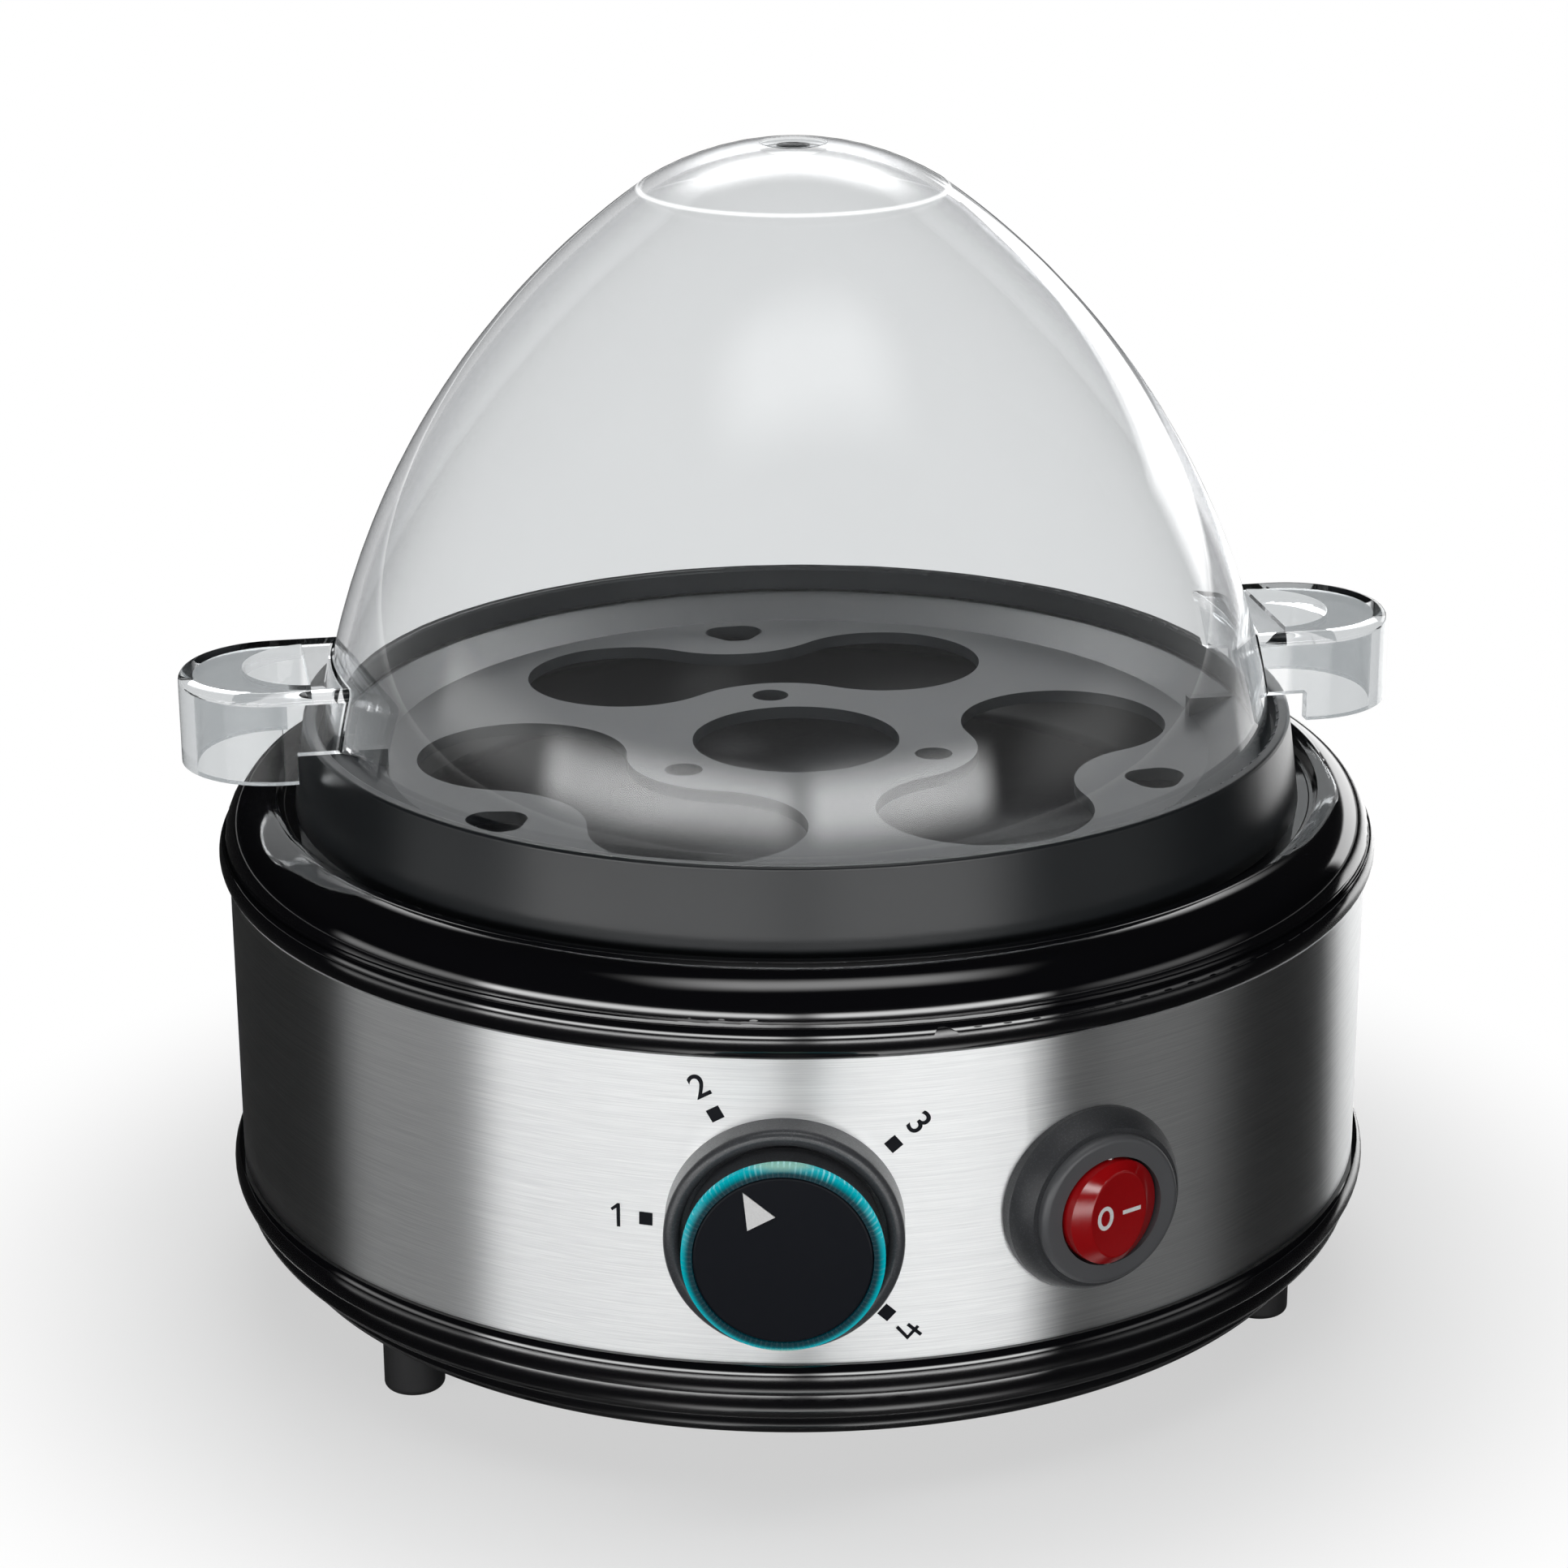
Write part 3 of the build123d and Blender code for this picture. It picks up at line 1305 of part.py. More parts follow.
os.makedirs("parts", exist_ok=True)
for name, piece in pieces.items():
    piece.part.label = name
    export_step(piece.part, f"parts/{name}.step")
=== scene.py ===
import json
import logging
import math
from dataclasses import dataclass, field
from enum import Enum
from typing import Any

import bmesh
import bpy
from mathutils import Matrix, Vector


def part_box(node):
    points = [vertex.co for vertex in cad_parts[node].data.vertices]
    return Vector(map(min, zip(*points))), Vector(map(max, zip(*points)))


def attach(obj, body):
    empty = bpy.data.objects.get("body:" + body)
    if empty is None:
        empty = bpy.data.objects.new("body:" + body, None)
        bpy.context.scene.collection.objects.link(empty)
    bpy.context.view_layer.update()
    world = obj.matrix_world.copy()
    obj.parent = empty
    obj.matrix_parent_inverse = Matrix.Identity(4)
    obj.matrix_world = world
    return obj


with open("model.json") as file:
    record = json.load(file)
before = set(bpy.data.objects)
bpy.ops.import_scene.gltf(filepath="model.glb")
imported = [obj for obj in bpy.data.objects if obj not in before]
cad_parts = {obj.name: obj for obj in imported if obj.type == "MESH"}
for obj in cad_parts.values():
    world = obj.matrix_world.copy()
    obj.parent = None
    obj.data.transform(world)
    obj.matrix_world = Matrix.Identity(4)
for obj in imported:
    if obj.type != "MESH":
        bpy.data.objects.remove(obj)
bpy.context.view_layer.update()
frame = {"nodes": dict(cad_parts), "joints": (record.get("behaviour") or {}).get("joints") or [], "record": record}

# Looks of a round electric egg cooker in a plain studio. Metres, in the frame of the CAD model.

log = logging.getLogger("egg_cooker")

MM = 0.001

Colour = tuple[float, float, float]
Place = tuple[float, float]
Pair = tuple[float, float]
Triple = tuple[float, float, float]
Socket = bpy.types.NodeSocket
Piece = bpy.types.Object

AXES = ((1, 0, 0), (0, 1, 0), (0, 0, 1))
WHITE: Colour = (1.0, 1.0, 1.0)
BLACK: Colour = (0.0, 0.0, 0.0)
LOST_BOUNCES = 3

# A Mix node has sockets for every type of data: these are the ones for colours and for vectors
MIX_COLOURS, MIX_COLOUR_OUT = (6, 7), 2
MIX_VECTORS, MIX_VECTOR_OUT = (4, 5), 1

# Numbers with an outline of their own, in shares of the number's height
NUMBER_OUTLINES: dict[str, tuple[Place, ...]] = {
    "1": ((0, 0.76), (0.06, 0.66), (0.24, 0.8), (0.24, 0), (0.38, 0), (0.38, 1), (0.28, 1)),
    "4": (
        (0.08, 1), (0, 0.29), (0.43, 0.29), (0.43, 0), (0.57, 0), (0.57, 0.29), (0.7, 0.29),
        (0.7, 0.42), (0.57, 0.42), (0.57, 0.74), (0.43, 0.74), (0.43, 0.42), (0.145, 0.42), (0.22, 1),
    ),
}


class Body(Enum):
    """The bodies that pieces ride on."""

    BASE = "base"
    ROCKER = "rocker"


class Slot(Enum):
    """The material slots of the record."""

    BAND_STEEL = "band_steel"
    HOUSING_BLACK = "housing_black"
    FOOT_RUBBER = "foot_rubber"
    PLAIN_STEEL = "plain_steel"
    SEAL_RUBBER = "seal_rubber"
    BOWL_COAT = "bowl_coat"
    SPREADER_ALUMINIUM = "spreader_aluminium"
    ELEMENT_STEEL = "element_steel"
    LIMITER_PLASTIC = "limiter_plastic"
    BLADE_BRASS = "blade_brass"
    BEZEL_GREY = "bezel_grey"
    INNER_PLASTIC = "inner_plastic"
    LAMP_BOARD = "lamp_board"
    KNOB_GREY = "knob_grey"
    RING_TEAL = "ring_teal"
    KNOB_BLACK = "knob_black"
    POINTER_WHITE = "pointer_white"
    COLLAR_GREY = "collar_grey"
    SWITCH_GREY = "switch_grey"
    ROCKER_RED = "rocker_red"
    GLAND_BLACK = "gland_black"
    LEAD_RUBBER = "lead_rubber"
    TRAY_GREY = "tray_grey"
    LID_CLEAR = "lid_clear"


class Value:
    """A number in a shader: an output socket whose arithmetic adds Math nodes."""

    def __init__(self, graph: "Graph", socket: Socket) -> None:
        """Keep the graph that the socket belongs to."""
        self.graph = graph
        self.socket = socket

    def __add__(self, other: "Value | float") -> "Value":
        """This number and another."""
        return self.graph.math("ADD", self, other)

    __radd__ = __add__

    def __mul__(self, other: "Value | float") -> "Value":
        """This number times another."""
        return self.graph.math("MULTIPLY", self, other)

    __rmul__ = __mul__

    def __sub__(self, other: "Value | float") -> "Value":
        """This number less another."""
        return self.graph.math("SUBTRACT", self, other)

    def __rsub__(self, other: "Value | float") -> "Value":
        """Another number less this one."""
        return self.graph.math("SUBTRACT", other, self)

    def __truediv__(self, other: "Value | float") -> "Value":
        """This number divided by another."""
        return self.graph.math("DIVIDE", self, other)

    def __rtruediv__(self, other: "Value | float") -> "Value":
        """Another number divided by this one."""
        return self.graph.math("DIVIDE", other, self)

    def __pow__(self, power: "Value | float") -> "Value":
        """This number raised to a power."""
        return self.graph.math("POWER", self, power)

    def __rpow__(self, base: float) -> "Value":
        """Another number raised to this one."""
        return self.graph.math("POWER", base, self)

    def __or__(self, other: "Value | float") -> "Value":
        """The larger of this number and another, as for masks."""
        return self.graph.math("MAXIMUM", self, other)

    __ror__ = __or__

    def sine(self) -> "Value":
        """The sine of this angle in radians."""
        return self.graph.math("SINE", self)

    def rise(self, low: float, high: float) -> "Value":
        """A smooth step from 0 to 1.

        Args:
            low: Where the step starts.
            high: Where it ends. Less than low for a falling step.

        Returns:
            The step's height.
        """
        if low > high:
            return 1 - self.rise(high, low)
        node = self.graph.add(
            "ShaderNodeMapRange",
            {"interpolation_type": "SMOOTHSTEP"},
            {"Value": self, "From Min": low, "From Max": high},
        )
        return Value(self.graph, node.outputs["Result"])


def hypotenuse(first: Value, second: Value) -> Value:
    """The length across two sides at right angles."""
    return (first * first + second * second) ** 0.5


class Graph:
    """A node tree under construction."""

    def __init__(self, tree: bpy.types.NodeTree) -> None:
        """Start from an empty tree."""
        self.tree = tree
        tree.nodes.clear()

    def add(
        self, kind: str, settings: dict[str, Any] | None = None, inputs: dict[Any, Any] | None = None
    ) -> bpy.types.Node:
        """Add one node.

        Args:
            kind: The node's type.
            settings: Its properties, set before anything else.
            inputs: Values or links by socket name or number.

        Returns:
            The node.
        """
        node = self.tree.nodes.new(kind)
        for name, setting in (settings or {}).items():
            setattr(node, name, setting)
        for key, item in (inputs or {}).items():
            source = item.socket if isinstance(item, Value) else item
            if isinstance(source, Socket):
                self.tree.links.new(source, node.inputs[key])
            else:
                node.inputs[key].default_value = source
        return node

    def math(self, operation: str, *terms: "Value | float") -> Value:
        """The result of one Math node on numbers, in the node's order."""
        node = self.add("ShaderNodeMath", {"operation": operation}, dict(enumerate(terms)))
        return Value(self, node.outputs[0])

    def point(self) -> Socket:
        """The place on the surface, in the frame's metres."""
        return self.add("ShaderNodeTexCoord").outputs["Object"]

    def vector(self, operation: str, first: Any, second: Any) -> bpy.types.Node:
        """A Vector Math node on two vectors."""
        return self.add("ShaderNodeVectorMath", {"operation": operation}, {0: first, 1: second})

    def along(self, point: Any, direction: Vector) -> Value:
        """How far a point lies along a direction."""
        return Value(self, self.vector("DOT_PRODUCT", point, tuple(direction)).outputs["Value"])

    def parts(self, point: Any) -> list[Value]:
        """How far a point lies along each axis."""
        return [self.along(point, Vector(axis)) for axis in AXES]

    def noise(
        self, point: Any, size: float | Triple, detail: float = 2.0, rough: float = 0.5
    ) -> Value:
        """A cloud of values about 0.5.

        Args:
            point: Where on the surface.
            size: The size of a cloud, or its sizes along the three axes.
            detail: How many finer layers it has.
            rough: How strong the finer layers are.

        Returns:
            The cloud's value.
        """
        sizes = size if isinstance(size, tuple) else (size, size, size)
        scaled = self.vector("DIVIDE", point, sizes).outputs["Vector"]
        node = self.add(
            "ShaderNodeTexNoise",
            {"noise_dimensions": "3D"},
            {"Vector": scaled, "Scale": 1.0, "Detail": detail, "Roughness": rough},
        )
        return Value(self, node.outputs["Fac"])

    def flecks(self, point: Any, size: float) -> Value:
        """A different value for each grain of a finish.

        Args:
            point: Where on the surface.
            size: The size of a grain.

        Returns:
            The grain's value, from 0 to 1.
        """
        scaled = self.vector("DIVIDE", point, (size, size, size)).outputs["Vector"]
        cells = self.add("ShaderNodeTexVoronoi", {"feature": "F1"}, {"Vector": scaled, "Scale": 1.0})
        parts = self.add("ShaderNodeSeparateColor", None, {"Color": cells.outputs["Color"]})
        return Value(self, parts.outputs[0])

    def mix(self, share: Value, first: Any, second: Any) -> Socket:
        """Blend two colours.

        Args:
            share: How much of the second colour shows.
            first: A colour or a link to one.
            second: Another.

        Returns:
            The blended colour.
        """
        colours = [rgba(item) if isinstance(item, tuple) else item for item in (first, second)]
        node = self.add(
            "ShaderNodeMix", {"data_type": "RGBA"}, {0: share, **dict(zip(MIX_COLOURS, colours))}
        )
        return node.outputs[MIX_COLOUR_OUT]

    def bump(
        self, height: Value, distance: float, normal: Socket, strength: float = 1.0
    ) -> Socket:
        """A normal that follows a height.

        Args:
            height: The height, from 0 to 1.
            distance: What a height of 1 stands for, in metres.
            normal: The normal of the even surface.
            strength: How much of the height shows.

        Returns:
            The normal.
        """
        node = self.add(
            "ShaderNodeBump",
            None,
            {"Strength": strength, "Distance": distance, "Height": height, "Normal": normal},
        )
        return node.outputs["Normal"]

    def turned(self, arcs: "tuple[Arc, ...]" = ()) -> Socket:
        """The surface's normal, true to the arcs of a turned form.

        Args:
            arcs: The form's round parts. A later one holds where two overlap.

        Returns:
            The normal.
        """
        normal = self.add("ShaderNodeNewGeometry").outputs["Normal"]
        for arc in arcs:
            normal = arc.normal(self, normal)
        return normal

    def rays(self, *kinds: str) -> list[Value]:
        """For each kind of ray, 1 if the ray is of that kind."""
        path = self.add("ShaderNodeLightPath")
        return [Value(self, path.outputs[f"Is {kind} Ray"]) for kind in kinds]

    def depth(self, kind: str, limit: float) -> Value:
        """1 once a ray has been through that many bounces of a kind."""
        path = self.add("ShaderNodeLightPath")
        return Value(self, path.outputs[f"{kind} Depth"]).rise(limit - 1, limit)

    def backdrop(self) -> Value:
        """1 for the rays that see the background as plain white."""
        camera, through = self.rays("Camera", "Transmission")
        return camera | through | self.depth("Glossy", LOST_BOUNCES)

    def white(self) -> Socket:
        """The plain white of the background."""
        return self.add("ShaderNodeEmission", None, {"Color": rgba(WHITE), "Strength": 1.0}).outputs[0]

    def principled(self, inputs: dict[str, Any]) -> Socket:
        """A Principled shader with these sockets set."""
        return self.add("ShaderNodeBsdfPrincipled", None, inputs).outputs[0]

    def blend(self, share: Value, first: Any, second: Any) -> Socket:
        """Two shaders mixed by a varying share."""
        return self.add("ShaderNodeMixShader", None, {0: share, 1: first, 2: second}).outputs[0]


def rgba(colour: Colour) -> tuple[float, float, float, float]:
    """A colour with its alpha."""
    return (*colour, 1.0)


def shade(colour: Colour, share: float) -> Colour:
    """A darker or lighter colour of the same hue."""
    return tuple(channel * share for channel in colour)


def rectangle(across: float, up: float) -> list[Place]:
    """The corners of a rectangle about the origin, from its half sizes."""
    return [(-across, -up), (across, -up), (across, up), (-across, up)]


def bowed(start: Place, end: Place, bow: float) -> Place:
    """The middle point of an arc that bows to the right of the way from start to end.

    Args:
        start: One end.
        end: The other.
        bow: How far the middle lies off the straight line.

    Returns:
        The middle point.
    """
    run, rise = end[0] - start[0], end[1] - start[1]
    share = bow / math.hypot(run, rise)
    return ((start[0] + end[0]) / 2 + rise * share, (start[1] + end[1]) / 2 - run * share)


@dataclass(frozen=True)
class Arc:
    """A round part of a turned form's outline, in millimetres of radius and height."""

    start: Place
    middle: Place
    end: Place
    wall: float = 0.0
    fit: float = 0.1
    lowest: float = 0.0
    least: float = 1e-6

    def centre(self) -> Place:
        """Where the arc's centre lies.

        Returns:
            Its radius and height.
        """
        (x1, y1), (x2, y2), (x3, y3) = self.start, self.middle, self.end
        turn = 2 * (x1 * (y2 - y3) + x2 * (y3 - y1) + x3 * (y1 - y2))
        first, second, third = [x * x + y * y for x, y in (self.start, self.middle, self.end)]
        across = (first * (y2 - y3) + second * (y3 - y1) + third * (y1 - y2)) / turn
        up = (first * (x3 - x2) + second * (x1 - x3) + third * (x2 - x1)) / turn
        return across, up

    def normal(self, graph: Graph, normal: Socket) -> Socket:
        """Put the arc's own normal in place of the given one wherever the surface lies on the arc.

        Args:
            graph: The material's node tree.
            normal: The surface's normal.

        Returns:
            The truer normal.
        """
        across, up = self.centre()
        size = math.hypot(self.start[0] - across, self.start[1] - up)
        point = graph.vector("DIVIDE", graph.point(), (MM, MM, MM)).outputs["Vector"]
        x, y, z = graph.parts(point)
        radius = hypotenuse(x, y) + self.least
        out, rise = radius - across, z - up
        reach = hypotenuse(out, rise)
        parts = {0: x / radius * out / reach, 1: y / radius * out / reach, 2: rise / reach}
        true = graph.add("ShaderNodeCombineXYZ", None, parts).outputs[0]
        agreement = graph.vector("DOT_PRODUCT", true, normal).outputs["Value"]
        side = graph.math("SIGN", Value(graph, agreement))
        facing = graph.add("ShaderNodeVectorMath", {"operation": "SCALE"}, {0: true, "Scale": side})
        on_arc = graph.math("COMPARE", reach, size, self.fit)
        if self.wall:
            on_arc = on_arc | graph.math("COMPARE", reach, size - self.wall, self.fit)
        on_arc = on_arc * graph.math("GREATER_THAN", z, self.lowest)
        normals = dict(zip(MIX_VECTORS, (normal, facing.outputs[0])))
        mixed = graph.add("ShaderNodeMix", {"data_type": "VECTOR"}, {0: on_arc, **normals})
        return mixed.outputs[MIX_VECTOR_OUT]


@dataclass(frozen=True)
class Finish:
    """A surface finish, which makes one material."""

    colour: Colour

    def surface(self, graph: Graph) -> Socket:
        """The shader, built in the material's node tree."""
        raise NotImplementedError

    def material(self, name: str) -> bpy.types.Material:
        """Make the material.

        Args:
            name: What the material is called.

        Returns:
            The material.
        """
        made = bpy.data.materials.new(name)
        made.use_nodes = True
        made.diffuse_color = rgba(self.colour)
        graph = Graph(made.node_tree)
        graph.add("ShaderNodeOutputMaterial", None, {"Surface": self.surface(graph)})
        return made


@dataclass(frozen=True)
class MouldedPlastic(Finish):
    """Moulded plastic or rubber, with a fine grain and, where painted, bright flecks."""

    roughness: float
    stray: float = 0.18
    grain: float = 0.35 * MM
    depth: float = 0.004 * MM
    fleck: float = 0.0
    specular: float = 0.5
    cloud: float = 14 * MM
    arcs: tuple[Arc, ...] = ()
    grain_rough: float = 0.6
    cloud_share: float = 0.6
    gloss_shares: Triple = (0.8, 0.25, 0.15)
    flake_ends: Pair = (0.7, 1.0)
    flake_light: float = 3.0
    flake_gloss: Pair = (1.12, 0.25)

    def surface(self, graph: Graph) -> Socket:
        """Clouded colour and gloss over a fine moulded grain.

        Args:
            graph: The material's node tree.

        Returns:
            The shader.
        """
        point = graph.point()
        cloud = graph.noise(point, self.cloud, detail=3.0)
        grain = graph.noise(point, self.grain, rough=self.grain_rough)
        dark, light = shade(self.colour, 1 - self.stray), shade(self.colour, 1 + self.stray)
        colour = graph.mix(cloud * self.cloud_share + grain * (1 - self.cloud_share), dark, light)
        even, by_cloud, by_grain = self.gloss_shares
        gloss = self.roughness * (even + cloud * by_cloud + grain * by_grain)
        if self.fleck:
            flake = graph.flecks(point, self.grain)
            flakes = flake.rise(*self.flake_ends) * self.fleck
            colour = graph.mix(flakes, colour, shade(self.colour, self.flake_light))
            even, by_flake = self.flake_gloss
            gloss = gloss * (even - flake * by_flake)
        return graph.principled({
            "Base Color": colour,
            "Roughness": gloss,
            "Specular IOR Level": self.specular,
            "Normal": graph.bump(grain, self.depth, graph.turned(self.arcs)),
        })


@dataclass(frozen=True)
class PlainMetal(Finish):
    """Plain or plated metal with a faint clouding and rolling marks."""

    roughness: float
    tint: Colour
    cloud: float = 6 * MM
    marks: Triple = (0.9 * MM, 0.12 * MM, 0.12 * MM)
    depth: float = 0.006 * MM
    tint_ends: Pair = (0.3, 0.7)
    gloss_shares: Triple = (0.7, 0.3, 0.3)

    def surface(self, graph: Graph) -> Socket:
        """Clouded metal between its colour and its tint.

        Args:
            graph: The material's node tree.

        Returns:
            The shader.
        """
        point = graph.point()
        cloud = graph.noise(point, self.cloud, detail=4.0)
        marks = graph.noise(point, self.marks)
        even, by_cloud, by_marks = self.gloss_shares
        return graph.principled({
            "Base Color": graph.mix(cloud.rise(*self.tint_ends), self.colour, self.tint),
            "Metallic": 1.0,
            "Roughness": self.roughness * (even + cloud * by_cloud + marks * by_marks),
            "Normal": graph.bump(marks, self.depth, graph.turned()),
        })


@dataclass(frozen=True)
class BrushedSteel(Finish):
    """Steel brushed level round the band, which smears reflections upright."""

    tint: Colour
    roughness: float = 0.38
    smear: float = 0.96
    smear_turn: float = 0.25
    streak_length: float = 16 * MM
    streak_width: float = 0.16 * MM
    streak_rough: float = 0.62
    streak_share: float = 0.65
    fine_size: float = 0.3
    depth: float = 0.004 * MM
    relief: float = 0.6
    tint_ends: Pair = (0.3, 0.7)
    gloss_shares: Pair = (0.82, 0.36)

    def surface(self, graph: Graph) -> Socket:
        """Fine level streaks in colour, gloss and height.

        Args:
            graph: The material's node tree.

        Returns:
            The shader.
        """
        point = graph.point()
        long_sizes = (self.streak_length, self.streak_length, self.streak_width)
        fine_sizes = tuple(size * self.fine_size for size in long_sizes)
        streak = graph.noise(point, long_sizes, 4.0, self.streak_rough)
        fine = graph.noise(point, fine_sizes)
        stroke = streak * self.streak_share + fine * (1 - self.streak_share)
        even, by_stroke = self.gloss_shares
        return graph.principled({
            "Base Color": graph.mix(stroke.rise(*self.tint_ends), self.colour, self.tint),
            "Metallic": 1.0,
            "Roughness": self.roughness * (even + stroke * by_stroke),
            "Anisotropic": self.smear,
            "Anisotropic Rotation": self.smear_turn,
            "Normal": graph.bump(stroke, self.depth, graph.turned(), self.relief),
        })


@dataclass(frozen=True)
class ClearPlastic(Finish):
    """Clear polished plastic, faintly wavy, which lets most light through to what stands behind."""

    # Painted shade for the loops' walls, a darker grey than the plastic
    thick: Colour
    # edge: painted shade, the grey the plastic turns towards its outline as seen from the view
    edge: Colour
    edge_ends: Pair = (0.5, 1.0)
    ior: float = 1.34
    pane: float = 0.93
    pane_shadow: float = 0.92
    inner_bounces: int = 6
    mottle: float = 0.98
    wave: float = 18 * MM
    wave_depth: float = 0.04 * MM
    wave_relief: float = 0.5
    rub: float = 1.6 * MM
    gloss_shares: Pair = (0.004, 0.012)
    # Painted shade on the loops starts at this distance from the middle
    thick_from: float = 77.5 * MM
    # Where the painted highlight lies: a thin ring along the step near the top
    step_radius: float = 24.1 * MM
    step_half: float = 0.45 * MM
    step_from: float = 178.0 * MM
    step_glow: Colour = (0.55, 0.55, 0.55)
    arcs: tuple[Arc, ...] = ()

    def surface(self, graph: Graph) -> Socket:
        """Plastic with painted shade greying its outline and its loops, a painted highlight glowing at the step, a
        pane for shadow rays.

        Args:
            graph: The material's node tree.

        Returns:
            The shader.
        """
        point = graph.point()
        x, y, z = graph.parts(point)
        wave = graph.noise(point, self.wave)
        rub = graph.noise(point, self.rub, detail=3.0)
        # Painted shade: the loops, out past a set width, are greyed
        loops = graph.math("ABSOLUTE", x).rise(self.thick_from, self.thick_from + MM)
        # Painted highlight: a mask for the glowing line along the step
        off_step = graph.math("ABSOLUTE", hypotenuse(x, y) - self.step_radius)
        step = off_step.rise(self.step_half, 0) * graph.math("GREATER_THAN", z, self.step_from)
        facing = graph.add("ShaderNodeLayerWeight").outputs["Facing"]
        colour = graph.mix(wave, shade(self.colour, self.mottle), self.colour)
        # Painted shade: the colour greys where the surface turns away from the view
        colour = graph.mix(Value(graph, facing).rise(*self.edge_ends), colour, self.edge)
        even, by_rub = self.gloss_shares
        clear = graph.principled({
            "Base Color": graph.mix(loops, colour, self.thick),
            "Roughness": even + rub * by_rub,
            "IOR": self.ior,
            "Transmission Weight": 1.0,
            # Painted highlight: the line along the step glows
            "Emission Color": graph.mix(step, BLACK, self.step_glow),
            "Emission Strength": 1.0,
            "Normal": graph.bump(wave, self.wave_depth, graph.turned(self.arcs), self.wave_relief),
        })
        tint = rgba(shade(self.colour, self.pane))
        pane = graph.add("ShaderNodeBsdfTransparent", None, {"Color": tint})
        shadow = graph.rays("Shadow")[0] * self.pane_shadow
        lost = graph.depth("Transmission", self.inner_bounces) | graph.depth("Glossy", LOST_BOUNCES)
        return graph.blend(shadow | lost, clear, pane.outputs[0])


@dataclass(frozen=True)
class LitRing(Finish):
    """Translucent ring lit from behind: dark inside, brighter outwards, with painted glints on its notches and a
    painted warm sheen at its top and foot.
    """

    edge: Colour
    # Colours of the painted glints and of the painted warm sheen
    spark: Colour
    warm: Colour
    centre: Vector
    across: Vector
    up: Vector
    inner: float
    outer: float
    notches: int = 110
    notch_ends: Pair = (0.1, 0.9)
    patch: float = 2.4 * MM
    patch_ends: Pair = (0.42, 0.62)
    # Where the painted glints grow towards the top, and where the painted warm sheen lies at top and foot
    lift_ends: Pair = (-0.35, 0.8)
    top_ends: Pair = (0.93, 0.99)
    foot_ends: Pair = (-0.95, -1.0)
    warm_share: float = 0.35
    spark_share: float = 0.35
    unlit: float = 0.5
    gloss_shares: Pair = (0.22, 0.1)

    def surface(self, graph: Graph) -> Socket:
        """Glow that follows the radius, with painted glints that follow the angle and grow towards the top.

        Args:
            graph: The material's node tree.

        Returns:
            The shader.
        """
        point = graph.vector("SUBTRACT", graph.point(), tuple(self.centre)).outputs["Vector"]
        right = graph.along(point, self.across)
        high = graph.along(point, self.up)
        angle = graph.math("ARCTAN2", high, right)
        rim = hypotenuse(right, high).rise(self.inner, self.outer)
        # Painted glints on the notches, brighter towards the top, and a painted warm sheen at top and foot
        notch = (angle * self.notches).sine().rise(*self.notch_ends)
        patch = graph.noise(point, self.patch).rise(*self.patch_ends)
        level = high / self.outer
        warm = level.rise(*self.top_ends) | level.rise(*self.foot_ends)
        painted_glints = notch * patch * level.rise(*self.lift_ends) * rim
        glow = graph.mix(rim, self.colour, self.edge)
        glow = graph.mix(warm * self.warm_share, glow, self.warm)
        glow = graph.mix(painted_glints * self.spark_share, glow, self.spark)
        even, by_notch = self.gloss_shares
        return graph.principled({
            "Base Color": graph.mix(rim, shade(self.colour, self.unlit), self.colour),
            "Roughness": even + notch * by_notch,
            "Emission Color": glow,
            "Emission Strength": 1.0,
        })


@dataclass(frozen=True)
class Ink(Finish):
    """Printed marks, slightly uneven."""

    roughness: float = 0.5
    mottle: float = 0.3 * MM
    faint: float = 0.8
    gloss_shares: Pair = (0.85, 0.3)

    def surface(self, graph: Graph) -> Socket:
        """An even print with a faint mottle.

        Args:
            graph: The material's node tree.

        Returns:
            The shader.
        """
        mottle = graph.noise(graph.point(), self.mottle, detail=3.0)
        even, by_mottle = self.gloss_shares
        return graph.principled({
            "Base Color": graph.mix(mottle, shade(self.colour, self.faint), self.colour),
            "Roughness": self.roughness * (even + mottle * by_mottle),
        })


@dataclass(frozen=True)
class StudioFloor(Finish):
    """Pale polished floor that keeps the shadow near the object and turns plain white further out."""

    near: float = 0.09
    far: float = 0.165
    lift: float = 0.56
    dim: float = 0.025
    polish: float = 0.85
    polish_ends: Pair = (1.1, 0.8)
    far_gloss: Pair = (2.5, 5.5)
    matt: float = 0.9
    polished: float = 0.2
    mottle: float = 90 * MM
    mottle_share: float = 0.04
    mottle_grey: Colour = (0.6, 0.6, 0.6)

    def surface(self, graph: Graph) -> Socket:
        """A pale floor, polished for metal and blended outwards to white.

        Args:
            graph: The material's node tree.

        Returns:
            The shader.
        """
        point = graph.point()
        mottle = graph.noise(point, self.mottle) * self.mottle_share
        length = graph.add("ShaderNodeVectorMath", {"operation": "LENGTH"}, {0: point})
        distance = Value(graph, length.outputs["Value"])
        plain = graph.backdrop()
        glossy = graph.rays("Glossy")[0] * (1 - plain)
        colour = graph.mix(plain, shade(self.colour, self.dim), self.colour)
        pale = graph.principled({
            "Base Color": graph.mix(mottle, colour, self.mottle_grey),
            "Roughness": self.matt,
            "Specular IOR Level": 0.0,
        })
        polished = graph.principled({
            "Base Color": rgba(self.colour),
            "Metallic": 1.0,
            "Roughness": self.polished,
        })
        ground = graph.blend(glossy * distance.rise(*self.polish_ends) * self.polish, pale, polished)
        clear = self.lift + distance.rise(self.near, self.far) * (1 - self.lift)
        shown = clear * plain | distance.rise(*self.far_gloss) * glossy
        return graph.blend(shown, ground, graph.white())


